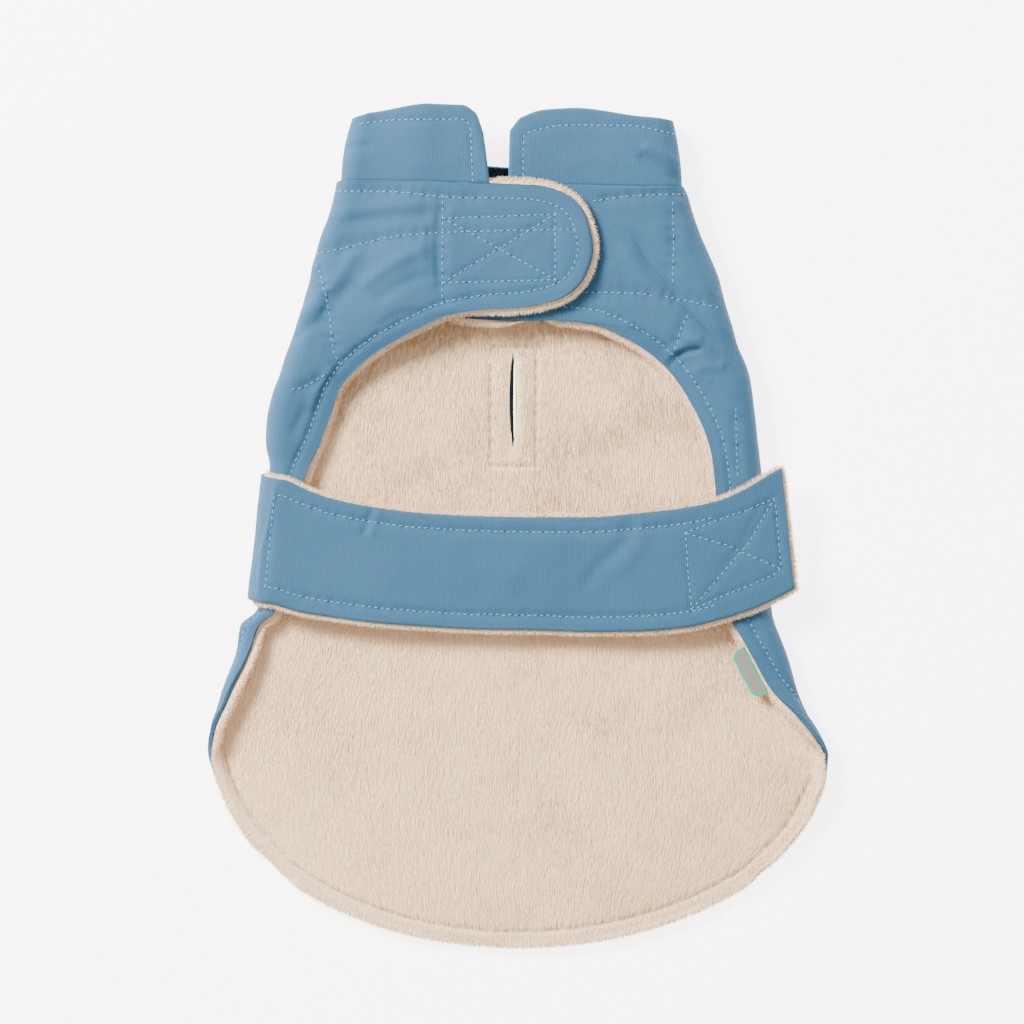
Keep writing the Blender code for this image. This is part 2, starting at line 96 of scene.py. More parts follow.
RIGHT = [
    Side(-4, 170.5, -1.5, 82.5, 169.0, 180, 31.4),
    Side(-26, 168.0, -1.5, 84.5, 165.0, 180, 31.4),
    Side(-36, 162.0, -1.5, 87.0, 157.0, 180, 31.4),
    Side(-38, 150.0, -1.5, 90.0, 147.5, 180, 31.4),
    Side(-38, 138.0, -1.5, 93.5, 138.5, 180, 31.4),
    Side(-38, 124.0, -1.5, 97.0, 130.0, 180, 31.4),
    Side(-37, 111.5, -1.5, 100.0, 122.5, 180, 31.4),
    Side(-31, 104.5, -1.5, 102.5, 115.0, 180, 31.4),
    Side(-12, 102.7, -1.5, 105.0, 107.5, 180, 31.4),
    Side(12, 102.5, -1.5, 107.3, 99.5, 180, 31.4),
    Side(35, 101.0, -1.5, 109.5, 91.0, 180, 31.0),
    Side(52, 94.5, -2.0, 112.5, 83.0, 180, 30.5),
    Side(66, 86.0, -3.0, 115.0, 75.0, 180, 30.0),
    Side(77, 75.5, -4.0, 116.3, 66.5, 180, 29.5),
    Side(85.5, 63.0, -5.0, 117.3, 57.0, 180, 28.5),
    Side(92.5, 49.0, -5.0, 118.6, 45.0, 180, 27.5),
    Side(96.7, 35.0, -4.0, 120.3, 35.0, 180, 25.5),
    Side(98.6, 20.0, -2.0, 121.7, 22.0, 180, 23.6),
    Side(100.5, -3.0, -0.5, 123.0, -3.0, 180, 23.6),
    Side(102.5, -22.0, -0.5, 124.3, -22.0, 180, 23.6),
    Side(104.5, -42.0, 0.0, 126.5, -42.0, 180, 23.6),
    Side(111.5, -55.5, 0.0, 130.3, -55.5, 180, 23.6),
    Side(118.5, -68.0, 0.0, 134.8, -68.0, 180, 23.6),
    Side(127.5, -82.5, 0.0, 139.0, -82.0, 176, 22.8),
    Side(138.6, -93.0, 0.0, 144.0, -93.0, 148, 20.5),
    Side(147.6, -103.0, 0.0, 150.2, -103.0, 120, 18.0),
    Side(154.4, -114.5, 0.0, 154.4, -114.5, 85, 15.0),
    Side(153.6, -126.5, 0.0, 153.6, -126.5, 50, 13.0),
    Side(147.4, -140.6, 0.0, 147.4, -140.6, 25, 12.0),
    Side(135.6, -157.2, 0.0, 135.6, -157.2, 8, 12.0),
    Side(117, -174.5, 0.0, 117.0, -174.5, 0, 12.0),
]

MIDDLE_Y = [
    143, 139.5, 134.5, 128, 121.5, 115.5, 110, 104.5, 98.5, 92, 85, 78, 70.5, 62.5, 53.5, 42.5,
    30, 15, -2, -21, -40, -55, -69, -83.5, -98, -112.5, -127.5, -144, -162.5, -184, -207.5,
]

SHELL_WALL, LINING_WALL, COLLAR_WALL, STRAP_LINING_WALL = 2.0, 3.0, 3.6, 2.5
SEAM_GAP = 0.3
EDGE_ROLL, STRAP_ROLL = 1.6, 0.9
HEM_STITCH = 5.6
CURL_SHARE = 0.62
RISE_LENGTH = 36.0
LEAST_RUN = 1.5
LEAST_TURN = 0.5
ARC_OF_HEM = 0.761
TAIL_START = 20

CollarHalf = namedtuple("CollarHalf", "end_x side_x height_at")
COLLAR_GAP = 0.45
COLLAR_LEFT = CollarHalf(-17.5, -83.5, [(0, 25), (4, 34), (12, 38), (30, 38), (64, 33), (75, 31)])
COLLAR_RIGHT = CollarHalf(-3.5, 78.5, [(0, 26), (5, 32), (16, 36), (36, 37.5), (70, 34), (87, 33)])
COLLAR_BACK_HEIGHT = 35.0
COLLAR_TOP_DEPTH = 0.925

Band = namedtuple("Band", "top_x top_y low_x low_y z")
STRAP_COLUMNS, STRAP_ROWS = 288, 48
STRAP_INSET, STRAP_STITCHED = 6, slice(84, 240)
STRAP_WRAP_START = -22
STRAP_WRAP_COLUMNS = 6
STRAP_ROW = 18
STRAP_WRAP_ENDS = [(-116.0, 22.5, -122.2, -38.5), (-116.0, 26.0, -122.2, -35.5)]
STRAP = [
    Band(-105, 17.5, -108, -42.5, 20.4),
    Band(-90, 12.5, -92, -45.0, 20.2),
    Band(-72, 9.0, -73, -47.5, 19.7),
    Band(-48, 6.0, -48, -49.5, 18.9),
    Band(-20, 4.5, -20, -51.0, 18.2),
    Band(8, 4.0, 8, -51.5, 18.0),
    Band(36, 4.0, 36, -52.3, 18.4),
    Band(60, 6.0, 61, -52.0, 19.3),
    Band(82, 8.5, 84, -50.0, 20.4),
    Band(99, 12.0, 101, -46.0, 20.8),
    Band(115, 19.0, 118, -40.5, 20.8),
    Band(124, 24.5, 129, -35.5, 20.3),
    Band(131, 28.5, 137.5, -31.0, 19.6),
]

SLIT_X, SLIT_Y, SLIT_LENGTH = -2.5, 63.0, 48.0
SLIT_WIDTH, SLIT_WIDTH_OUTSIDE, SLIT_SHIFT = 3.6, 1.1, 0.8

LABEL_LOW_END, LABEL_HIGH_END = (124.6, -83.0), (112.6, -60.3)
LABEL_DEPTH, LABEL_CORNER, LABEL_WALL, LABEL_EDGE = 7.5, 4.5, 0.8, 1.3
LABEL_SEAM_HEIGHT, LABEL_DROOP = 13.6, 12

# ---------------------------------------------------------------------------------------------
# Stitched lines and creases. A line lies on one layer of the coat, and its points are its plan.

Seam = namedtuple("Seam", "layer points depth width")
LINE_STEP = 0.8
MOST_PRESSED = 1.6
QUILT_PITCH = 61.0
QUILT_DEPTH, QUILT_WIDTH = 1.15, 4.2
STITCH_DEPTH, STITCH_WIDTH = 0.8, 1.9
PUCKER, PUCKER_PITCH = 0.4, 6.4

QUILTING = [
    Seam("left", [(-90, 167), (-63.5, 166.5), (-40, 164), (-24, 163.2), (-16, 163.3)], 0.9, 2.6),
    Seam("right", [(38, 162), (58, 164.5), (84, 165.5)], 0.9, 2.6),
    Seam("left", [(-37.5, 164), (-37.5, 153), (-37.8, 121), (-37.5, 111)], 1.3, 2.6),
    Seam("left", [(-103, 135), (-82, 139.5), (-62.5, 144), (-37.5, 146)], 1.0, 3.6),
    Seam("left", [(-37.5, 146), (0, 147), (28, 147.5)], 0.35, 2.0),
    Seam("left", [(-101, 132), (-95, 112), (-92, 88), (-89, 81)], 1.1, 3.6),
    Seam("left", [(-112, 68), (-107.5, 69), (-97, 75)], 0.9, 3.2),
    Seam("right", [(34, 116.5), (58, 116), (84.5, 112), (99, 109)], 0.9, 3.8),
    Seam("right", [(77, 160.5), (77.5, 142), (77, 122)], 0.9, 3.4),
    Seam("right", [(84, 104), (82.5, 101.5), (78.5, 88.5)], 0.9, 3.0),
    Seam("right", [(108.5, 58), (108.8, 43), (109.5, 26)], 0.9, 3.0),
]

BOXES = [
    Seam("left", [(-37, 153), (18.5, 155)], 0.5, 1.4),
    Seam("left", [(18.5, 155), (18.5, 122.5)], 0.6, 1.4),
    Seam("left", [(18.5, 122.5), (-37, 121)], 0.5, 1.4),
    Seam("left", [(-37, 153), (18.5, 122.5)], 0.55, 1.6),
    Seam("left", [(-37, 121), (18.5, 155)], 0.55, 1.6),
]

# Soft troughs, or ridges where the depth is below zero.
CREASE_SHARE = 1.2
CREASES = [
    Seam("left", [(-92, 149), (-86.5, 150.5), (-62, 153.5), (-41, 155)], 0.9, 3.2),
    Seam("left", [(-88, 156), (-66, 159.5), (-46, 160)], -0.6, 3.6),
    Seam("left", [(-39.6, 157), (-40.2, 140), (-39.4, 120)], 1.25, 1.3),
    Seam("left", [(-46, 152), (-47, 136), (-45, 122)], -0.8, 3.6),
    Seam("left", [(-109, 101), (-98, 114), (-87, 127), (-79, 140)], -1.5, 4.2),
    Seam("left", [(-100, 100), (-90, 112), (-81, 122)], 0.9, 3.4),
    Seam("left", [(-80, 117), (-62, 131), (-45, 139)], -1.2, 3.8),
    Seam("left", [(-71, 112), (-56, 121), (-42, 126)], 0.8, 3.0),
    Seam("left", [(-117, 86), (-108, 96), (-98, 103)], 0.7, 2.6),
    Seam("left", [(-106, 58), (-100, 68), (-92, 79)], -0.8, 2.8),
    Seam("left", [(-113, 45), (-107, 57), (-103, 66)], 0.6, 2.4),
    Seam("left", [(-70, 99), (-62, 104), (-50, 108)], 0.5, 2.2),
    Seam("right", [(57, 146.5), (66, 132), (72.5, 126), (82, 113), (97, 97), (103, 92), (110, 76)],
         1.5, 2.0),
    Seam("right", [(50, 141), (60, 127), (75, 109), (89, 93), (99, 82)], -1.7, 4.4),
    Seam("right", [(66, 151), (76, 138), (86, 127), (98, 112)], -0.8, 4.0),
    Seam("right", [(73, 77.5), (82, 86), (92, 88.5)], 1.9, 1.3),
    Seam("right", [(75, 84), (84, 92), (93, 93.5)], -0.9, 2.6),
    Seam("right", [(84, 74), (95, 80), (104, 80)], -0.9, 3.4),
    Seam("right", [(95, 72), (104, 64), (112, 60)], 0.7, 2.6),
    Seam("right", [(44, 130), (54, 121), (62, 112)], -0.5, 3.4),
    Seam("back", [(-60, 150), (-30, 141), (0, 139), (40, 143), (62, 151)], 0.6, 4.0),
    Seam("back", [(-100, 30), (-70, 22), (-30, 26), (10, 18)], 0.7, 4.5),
    Seam("back", [(20, 60), (55, 66), (90, 58)], 0.6, 4.0),
    Seam("back", [(-90, -75), (-50, -88), (-12, -84)], 0.7, 5.0),
    Seam("back", [(30, -120), (70, -112), (110, -126)], 0.7, 4.5),
    Seam("back", [(-70, -150), (-20, -158), (35, -150)], 0.5, 4.0),
]

STRAP_BOX = [(83.5, -3.5), (99.5, 3), (117, 9), (127.5, 13.5), (128.5, 9), (131, -21), (128, -24),
             (117, -29), (101.5, -35), (86.5, -42), (84.5, -20), (83.5, -3.5)]
STRAP_LINES = [
    Seam("strap", STRAP_BOX, 0.5, 1.3),
    Seam("strap", [(84.5, -4), (104, -9.5), (130, -21)], 0.5, 1.3),
    Seam("strap", [(127.5, 13.5), (115, -8), (87, -41)], 0.5, 1.4),
    Seam("strap", [(-121.5, 14), (-125.8, -30)], 0.4, 1.3),
]
STRAP_CREASES = [
    Seam("strap", [(-72.5, 9), (-74, 4), (-77.5, -5)], 1.1, 1.5),
    Seam("strap", [(-69, 8), (-70.5, 2), (-73, -6)], -0.5, 1.8),
    Seam("strap", [(56, 6), (54.5, -5), (39, -21.5), (32, -33)], 0.8, 3.4),
    Seam("strap", [(62, 4), (61, -8), (47, -25)], -0.6, 4.0),
    Seam("strap", [(122, 12), (111, -9), (98, -24)], 0.5, 2.4),
    Seam("strap", [(-120.5, 22), (-123.5, 3), (-127.5, -14), (-129, -36)], -0.7, 1.6),
    Seam("strap", [(-38, -10), (-20, -22), (4, -26)], -0.4, 7.0),
    Seam("strap", [(-62, -28), (-40, -36), (-16, -38)], 0.35, 6.0),
]

COLLAR_LINES = [
    Seam("collar", [(-77.5, 200.5), (-60, 202.2), (-29, 202.4), (-25, 200.5), (-23.6, 196),
                    (-22.6, 172)], 0.5, 1.3),
    Seam("collar", [(79, 195), (54.5, 199.5), (25.5, 199.8), (6, 196.3), (3, 194), (2.6, 170)],
         0.5, 1.3),
]
COLLAR_CREASES = [
    Seam("collar", [(60, 185), (68, 180), (80, 172)], 1.6, 2.2),
    Seam("collar", [(62, 190), (72, 185), (82, 178)], -1.2, 3.0),
    Seam("collar", [(-88, 186), (-80, 189), (-72, 190)], 0.8, 2.0),
    Seam("collar", [(-58, 178), (-40, 181), (-28, 180)], -0.4, 5.0),
    Seam("collar", [(20, 178), (34, 183), (50, 181)], -0.4, 5.0),
]

SLIT_BOX = [(-13.5, 90), (9, 90), (9, 30.5), (-13.5, 30.5), (-13.5, 90)]

# Darker plush: patches brushed the other way, and painted shade by the opening's left edge and under
# its top.
# Each has its middle, reach, turn and depth.
Patch = namedtuple("Patch", "x y long wide turn depth")
PATCHES = [
    Patch(44, 46, 30, 9, 18, 0.9), Patch(20, 13, 20, 8, -12, 0.7), Patch(66, 66, 22, 8, -50, 0.5),
    Patch(-72, 84, 34, 9, 50, 0.9), Patch(-40, 102, 34, 8, 20, 0.8), Patch(10, 97, 52, 7, 0, 0.7),
    Patch(-22, 48, 10, 22, 0, 0.3), Patch(-48, 30, 26, 8, 35, 0.3), Patch(-3, 90, 13, 3, 0, 0.8),
    Patch(-100, -66, 12, 24, -25, 0.4), Patch(-40, -74, 42, 7, 6, 0.3),
    Patch(30, -98, 30, 10, -20, 0.15), Patch(70, -128, 32, 9, 30, 0.12),
    Patch(-70, -130, 34, 10, -24, 0.15), Patch(94, -78, 10, 26, 25, 0.3),
]

# The pile: how far it leans, in degrees, and how its tufts vary in way, in flatness and in tone.
PILE_LEAN, STRAP_PILE_LEAN = 76, 55
PILE_SPLIT = -0.048
LEAST_JITTER, MOST_JITTER, DRIFT = (-0.13, -0.10, -0.03), (0.13, 0.10, 0.12), 0.30
TUFT_FLATNESS = 0.3
TONES = (0.60, 0.82, 0.97, 1.02)
TONE_STEPS = (0.05, 0.25, 0.58)

# The stitches, in metres and radians.
THREAD_FLATNESS = 0.75
HOLE_HEIGHT, HOLE_DROP = 0.0002, 0.00012
LEAST_SLANT, MOST_SLANT = 0.03, 0.17

# The stage, in metres and watts.
FLOOR_DROP, FLOOR_GLOW, STUDIO_GLOW = 0.0003, 4.5, 0.9
Lamp = namedtuple("Lamp", "name place size power")
LAMPS = [Lamp("key", (-1.25, 1.15, 1.45), 0.7, 168), Lamp("fill", (1.3, -0.6, 1.6), 1.6, 8)]
CAMERA_PLACE, CAMERA_LENS = (-0.003, 0.007, 4.0), 281.0

# ---------------------------------------------------------------------------------------------
# Sizes and colours that a user would change


def length(name, description, default, least):
    return FloatProperty(
        name=name, description=description, default=default, min=least, unit="LENGTH"
    )


def colour(name, description, default):
    return FloatVectorProperty(
        name=name, description=description, default=default, subtype="COLOR", size=3, min=0, max=1
    )


class CoatSizes(bpy.types.PropertyGroup):
    stitch_pitch: length("Stitch pitch", "From one stitch to the next", 0.0032, 0.001)
    stitch_length: length("Stitch length", "Thread that shows in one stitch", 0.0023, 0.0005)
    thread_width: length("Thread width", "Width of the topstitching thread", 0.0006, 0.0001)
    edge_stitch: length("Edge stitch", "From the free edge to its topstitching", 0.0072, 0.001)
    pile_length: length("Pile length", "Length of the plush's tufts", 0.0045, 0.001)
    tuft_width: length("Tuft width", "Width of a tuft of plush at its root", 0.0005, 0.0001)
    pile_count: IntProperty(
        name="Tufts", description="Tufts of plush on each square centimetre", default=185, min=1,
    )
    rib_pitch: length("Rib pitch", "From one fine rib of the cotton to the next", 0.00085, 0.0002)


class CoatColours(bpy.types.PropertyGroup):
    cotton: colour("Cotton", "Outer cloth", (0.032, 0.097, 0.170))
    thread: colour("Thread", "Topstitching thread", (0.12, 0.29, 0.43))
    plush: colour("Plush", "Lining", (0.98, 0.73, 0.47))
    mint: colour("Label edge", "Edge of the woven label", (0.0, 0.33, 0.17))
    label: colour("Label", "Middle of the woven label", (0.20, 0.165, 0.165))


def sizes():
    return bpy.context.scene.coat_sizes


def coloured(name):
    return tuple(getattr(bpy.context.scene.coat_colours, name))


def placed(name, data):
    """A new object in the scene that holds this mesh, light or camera."""
    obj = bpy.data.objects.new(name, data)
    bpy.context.scene.collection.objects.link(obj)
    return obj


def faced_out(mesh):
    work = bmesh.new()
    work.from_mesh(mesh)
    bmesh.ops.recalc_face_normals(work, faces=work.faces)
    work.to_mesh(mesh)
    work.free()


# ---------------------------------------------------------------------------------------------
# The form of the cloth


def smooth(t):
    t = np.clip(t, 0, 1)
    return t * t * (3 - 2 * t)


def eased(table, at):
    """The table's values between its rows, on a smooth curve that never passes them."""
    values = np.asarray(table, float)
    step = np.diff(values, axis=0)
    before, after = step[:-1], step[1:]
    slope = np.zeros_like(values)
    same_way = before * after > 0
    total = np.where(same_way, before + after, 1)
    slope[1:-1] = np.where(same_way, 2 * before * after / total, 0)
    slope[0], slope[-1] = step[0], step[-1]
    low = np.clip(at.astype(int), 0, len(values) - 2)
    t = (at - low).reshape(-1, *[1] * (values.ndim - 1))
    return (
        values[low] * (1 + 2 * t) * (1 - t) ** 2
        + values[low + 1] * t * t * (3 - 2 * t)
        + slope[low] * t * (1 - t) ** 2
        - slope[low + 1] * t * t * (1 - t)
    )


def hem_arc(t):
    """1 in the middle of a row and 0 at its sides, in the shape of the hem's middle arc."""
    rim = math.sqrt(1 - ARC_OF_HEM**2)
    return (np.sqrt(1 - (np.clip(np.abs(t), 0, 1) * ARC_OF_HEM) ** 2) - rim) / (1 - rim)


def side_surface(side, sign, curl_steps, wing_steps):
    """Points of one side of every section, and their distance out of the flat along the cloth."""
    edge_x, edge_y, lift, outline_x, outline_y, degrees, arc = (c[:, None] for c in side.T)
    turn = np.radians(np.maximum(degrees, LEAST_TURN))
    radius = arc / turn
    bend = np.minimum(turn, math.pi / 2)
    flat = np.abs(outline_x) - radius * np.sin(bend) - LEAST_RUN * np.cos(bend)
    curl_out = flat + radius * np.sin(turn)
    run = np.maximum(np.abs(sign * curl_out - edge_x), LEAST_RUN)
    run = np.where(degrees < 90, LEAST_RUN, run)
    length = arc + run
    knot = np.minimum(arc, CURL_SHARE * length)
    s = np.hstack([
        knot * np.linspace(0, 1, curl_steps + 1),
        knot + (length - knot) * np.linspace(0, 1, wing_steps + 1)[1:],
    ])
    on_curl = np.minimum(s, arc) / radius
    beyond = np.maximum(s - arc, 0)
    out = flat + radius * np.sin(on_curl) + beyond * np.cos(turn)
    up = radius * (1 - np.cos(on_curl)) + beyond * np.sin(turn)
    up = up + lift * smooth(beyond / RISE_LENGTH)
    y = outline_y + (edge_y - outline_y) * smooth(beyond / run)
    return np.stack([sign * out, y, up], axis=2), flat, s


def body_form(rows, curl_steps, wing_steps, back_shares):
    """The body's outer surface, and where each of its points lies on the cloth laid flat."""
    left, right = eased(LEFT, rows), eased(RIGHT, rows)
    middle = eased(MIDDLE_Y, rows)[:, None]
    left_points, left_flat, left_s = side_surface(left, -1, curl_steps, wing_steps)
    right_points, right_flat, right_s = side_surface(right, 1, curl_steps, wing_steps)
    t = np.asarray(back_shares)
    back_x = np.where(t < 0, t * left_flat, t * right_flat)
    back = np.stack([back_x, np.zeros_like(back_x), np.zeros_like(back_x)], axis=2)
    grid = np.concatenate([left_points[:, ::-1], back, right_points], axis=1)
    cloth_x = np.hstack([-(left_flat + left_s)[:, ::-1], back_x, right_flat + right_s])

    bend = smooth((rows - TAIL_START) / (len(LEFT) - 1 - TAIL_START))[:, None]
    ends = [
        flat + bend * (np.abs(side[:, 3:4]) - flat)
        for side, flat in ((left, left_flat), (right, right_flat))
    ]
    x = grid[:, :, 0]
    share = np.clip(np.where(x < 0, x / ends[0], x / ends[1]), -1, 1)
    side_y = left[:, 4:5] + (right[:, 4:5] - left[:, 4:5]) * (share + 1) / 2
    dipped = side_y + (middle - side_y) * hem_arc(share)
    folded_over = np.zeros(x.shape, bool)
    folded_over[:, :wing_steps] = left[:, 5:6] > 90
    folded_over[:, -wing_steps:] = right[:, 5:6] > 90
    grid[:, :, 1] = np.where(folded_over, grid[:, :, 1], dipped)
    return grid, np.stack([cloth_x, grid[:, :, 1]], axis=2)


def normals_of(grid):
    """Normals of a grid of points, out of the coat."""
    along = np.gradient(grid, axis=0)
    across = np.gradient(grid, axis=1)
    normals = np.cross(across, along)
    return normals / np.maximum(np.linalg.norm(normals, axis=2), 1e-9)[:, :, None]


def normals_up(grid, row, column):
    """Normals of a grid, on the side of it that faces up at one of its points."""
    normals = normals_of(grid)
    return normals if normals[row, column, 2] > 0 else -normals


def spaced(points, step):
    """A polyline's points again, a step apart."""
    points = np.asarray(points, float)
    length = np.concatenate([[0], np.cumsum(np.linalg.norm(np.diff(points, axis=0), axis=1))])
    count = max(int(round(length[-1] / step)), 1)
    at = np.linspace(0, length[-1], count + 1)
    return np.stack([np.interp(at, length, column) for column in points.T], axis=1)


def rounded(points, step):
    """A smooth curve through a few hand-set points, a step apart."""
    points = np.asarray(points, float)
    if len(points) < 3:
        return spaced(points, step)
    return spaced(eased(points, np.linspace(0, len(points) - 1, 12 * len(points))), step)


def surface_tree(grid):
    rows, columns = grid.shape[:2]
    a = (np.arange(rows - 1)[:, None] * columns + np.arange(columns - 1)).reshape(-1)
    faces = np.stack([a, a + 1, a + columns + 1, a + columns], axis=1)
    return BVHTree.FromPolygons(grid.reshape(-1, 3).tolist(), faces.tolist())


def dropped(tree, plan, from_below=False):
    """Plan points put on a surface, from above or from below. Points that miss it are left out."""
    start, way = (-200, Vector((0, 0, 1))) if from_below else (200, Vector((0, 0, -1)))
    found = [tree.ray_cast(Vector((x, y, start)), way)[0] for x, y in plan]
    return np.array([list(p) for p in found if p is not None])


def pressed(grid, lines):
    """How far each point of a grid goes in for the stitched lines and creases near it.

    Each line is its points, depth, width, and whether it is sewn: sewn lines pucker the cloth.
    """
    points = grid.reshape(-1, 3)
    depth_at = np.zeros(len(points))
    for line, depth, width, sewn in lines:
        if len(line) < 2:
            continue
        reach = 2.6 * width
        near = np.nonzero(
            ((points > line.min(axis=0) - reach) & (points < line.max(axis=0) + reach)).all(axis=1)
        )[0]
        if not len(near):
            continue
        apart = np.linalg.norm(points[near][:, None] - line[None], axis=2)
        nearest = apart.argmin(axis=1)
        share = nearest / (len(line) - 1)
        fade = smooth(share / 0.16 + 0.25) * smooth((1 - share) / 0.16 + 0.25)
        closest = apart[np.arange(len(near)), nearest]
        wave = np.cos(nearest * LINE_STEP * 2 * math.pi / PUCKER_PITCH + np.sin(nearest * 0.37))
        gathered = 1 + PUCKER * wave if sewn else 1
        depth_at[near] += depth * fade * gathered * np.exp(-((closest / width) ** 2))
    eased_off = MOST_PRESSED * np.tanh(depth_at / MOST_PRESSED)
    depth_at = np.where(depth_at > 0, eased_off, depth_at)
    return depth_at.reshape(grid.shape[:2])


def laid(surface, seams, sewn, curve=rounded):
    """Seams put on a surface: the points, depth and width of each, and whether it is sewn."""
    found = [(dropped(surface, curve(seam.points, LINE_STEP)), seam) for seam in seams]
    return [(points, seam.depth, seam.width, sewn) for points, seam in found if len(points) > 3]


def waves(grid, scale, height, seed):
    """Soft unevenness: gentle hollows and swells of this scale."""
    shift = Vector((seed * 7.3, seed * 3.1, seed * 1.7))
    points = (grid.reshape(-1, 3) / scale).tolist()
    values = [noise.noise(Vector(p) + shift) for p in points]
    return height * np.array(values).reshape(grid.shape[:2])


def patches_at(grid):
    """How much each point of the lining lies in a darker patch, of brushed nap and of painted shade
    by the opening's edges.
    """
    x, y = grid[:, :, 0], grid[:, :, 1]
    total = np.zeros(x.shape)
    for patch in PATCHES:
        turn = math.radians(patch.turn)
        along = (x - patch.x) * math.cos(turn) + (y - patch.y) * math.sin(turn)
        across = (y - patch.y) * math.cos(turn) - (x - patch.x) * math.sin(turn)
        total += patch.depth * np.exp(-((along / patch.long) ** 2) - (across / patch.wide) ** 2)
    return np.clip(total * (1 + waves(grid, 7.0, 0.9, 12)), 0, 1)


def rim_of(shape):
    """A grid's rim, as rows and columns, once round."""
    rows, columns = shape[:2]
    loop = [(0, j) for j in range(columns - 1)]
    loop += [(k, columns - 1) for k in range(rows - 1)]
    loop += [(rows - 1, j) for j in range(columns - 1, 0, -1)]
    loop += [(k, 0) for k in range(rows - 1, 0, -1)]
    return np.array(loop)


def outward(grid, loop):
    """The way off the cloth, in its own run, at each point of the rim."""
    line = grid[loop[:, 0], loop[:, 1]]
    along = np.roll(line, -1, axis=0) - np.roll(line, 1, axis=0)
    out = np.cross(along, normals_of(grid)[loop[:, 0], loop[:, 1]])
    for _ in range(5):
        out /= np.maximum(np.linalg.norm(out, axis=1), 1e-9)[:, None]
        out = (np.roll(out, 1, axis=0) + out + np.roll(out, -1, axis=0)) / 3
    return out / np.maximum(np.linalg.norm(out, axis=1), 1e-9)[:, None]


def rolled(grid, reach, keep_first_row=True):
    """The grid with its rim moved outwards by reach, but for its first row."""
    loop = rim_of(grid.shape)
    out = outward(grid, loop)
    grid = grid.copy()
    for (k, j), way in zip(loop, out):
        if k > 0 or not keep_first_row:
            grid[k, j] += reach * way
    return grid


def wall_mesh(name, face, back, cloth, coarse, bulge, steps=3, two_sided=False):
    """A closed wall of cloth: a fine face, a coarse back, and a rim rounded out by bulge.

    With two_sided its back takes the second material.
    """
    rows, columns = face.shape[:2]
    loop = rim_of(face.shape)
    rim_line, rim_back = face[loop[:, 0], loop[:, 1]], back[loop[:, 0], loop[:, 1]]
    out = outward(face, loop)
    t = np.linspace(0, 1, steps + 2)[1:, None, None]
    rings = rim_line * (1 - t) + rim_back * t + out * bulge * np.sin(math.pi * t)
    count = rows * columns
    index = np.arange(count).reshape(rows, columns)
    ids = [index[loop[:, 0], loop[:, 1]]]
    ids += [count + n * len(loop) + np.arange(len(loop)) for n in range(steps + 1)]
    points = [face.reshape(-1, 3), rings.reshape(-1, 3)]
    where = [cloth.reshape(-1, 2), np.tile(cloth[loop[:, 0], loop[:, 1]], (steps + 1, 1))]
    a = index[:-1, :-1].reshape(-1)
    faces = np.stack([a, a + 1, a + columns + 1, a + columns], axis=1).tolist()
    for first, second in zip(ids, ids[1:]):
        after_first, after_second = np.roll(first, -1), np.roll(second, -1)
        faces += np.stack([first, second, after_second, after_first], axis=1).tolist()

    # The back has a point for each coarse step, and takes the whole rim.
    face_count = len(faces)
    back_id = np.full((rows, columns), -1)
    back_id[loop[:, 0], loop[:, 1]] = ids[-1]
    inner_rows, inner_columns = (np.arange(coarse, n - 1, coarse) for n in (rows, columns))
    inner = np.array([(k, j) for k in inner_rows for j in inner_columns])
    start = count + (steps + 1) * len(loop)
    back_id[inner[:, 0], inner[:, 1]] = start + np.arange(len(inner))
    points.append(back[inner[:, 0], inner[:, 1]])
    where.append(cloth[inner[:, 0], inner[:, 1]])
    for k in range(0, rows - 1, coarse):
        for j in range(0, columns - 1, coarse):
            k1, j1 = min(k + coarse, rows - 1), min(j + coarse, columns - 1)
            top = [(k, c) for c in (range(j, j1) if k == 0 else [j])]
            right = [(r, j1) for r in (range(k, k1) if j1 == columns - 1 else [k])]
            low = [(k1, c) for c in (range(j1, j, -1) if k1 == rows - 1 else [j1])]
            left = [(r, j) for r in (range(k1, k, -1) if j == 0 else [k1])]
            faces.append([int(back_id[p]) for p in top + right + low + left][::-1])

    mesh = bpy.data.meshes.new(name)
    mesh.from_pydata((np.vstack(points) * MM).tolist(), [], faces)
    mesh.update()
    if two_sided:
        for polygon in mesh.polygons[face_count:]:
            polygon.material_index = 1
    faced_out(mesh)
    place = np.vstack(where) * MM
    layer = mesh.uv_layers.new(name="cloth")
    corners = np.zeros(len(mesh.loops), int)
    mesh.loops.foreach_get("vertex_index", corners)
    layer.uv.foreach_set("vector", place[corners].astype(np.float32).ravel())
    mesh.shade_smooth()
    return placed(name, mesh)


def set_attribute(obj, name, kind, values, first=0):
    """Writes a named value at the points of a mesh, from the first one on. The others get zero."""
    width = 3 if kind == "FLOAT_VECTOR" else 1
    data = np.zeros((len(obj.data.vertices), width), np.float32)
    values = np.asarray(values, np.float32).reshape(-1, width)
    data[first : first + len(values)] = values
    layer = obj.data.attributes.new(name, kind, "POINT")
    layer.data.foreach_set("vector" if width == 3 else "value", data.ravel())


# ---------------------------------------------------------------------------------------------
# The body's grids, which the shell, the lining and the stitching share

ROWS_OF_SHELL = np.linspace(0, 30, 8 * 30 + 1)
SHELL_STEPS = (18, 96, np.linspace(-1, 1, 25)[1:-1])  # curl, wing, shares of the back
ROWS_OF_LINING = np.concatenate([
    np.linspace(0, 9, 37), np.linspace(9, 18, 109)[1:], np.linspace(18, 28, 71)[1:],
    np.linspace(28, 29, 13)[1:], np.linspace(29, 30, 25)[1:],
])
LINING_STEPS = (12, 24, np.concatenate([
    np.linspace(-1, -0.22, 29)[1:], np.linspace(-0.22, 0.16, 37)[1:], np.linspace(0.16, 1, 30)[1:-1],
]))


@lru_cache
def shell_form():
    return body_form(ROWS_OF_SHELL, *SHELL_STEPS)


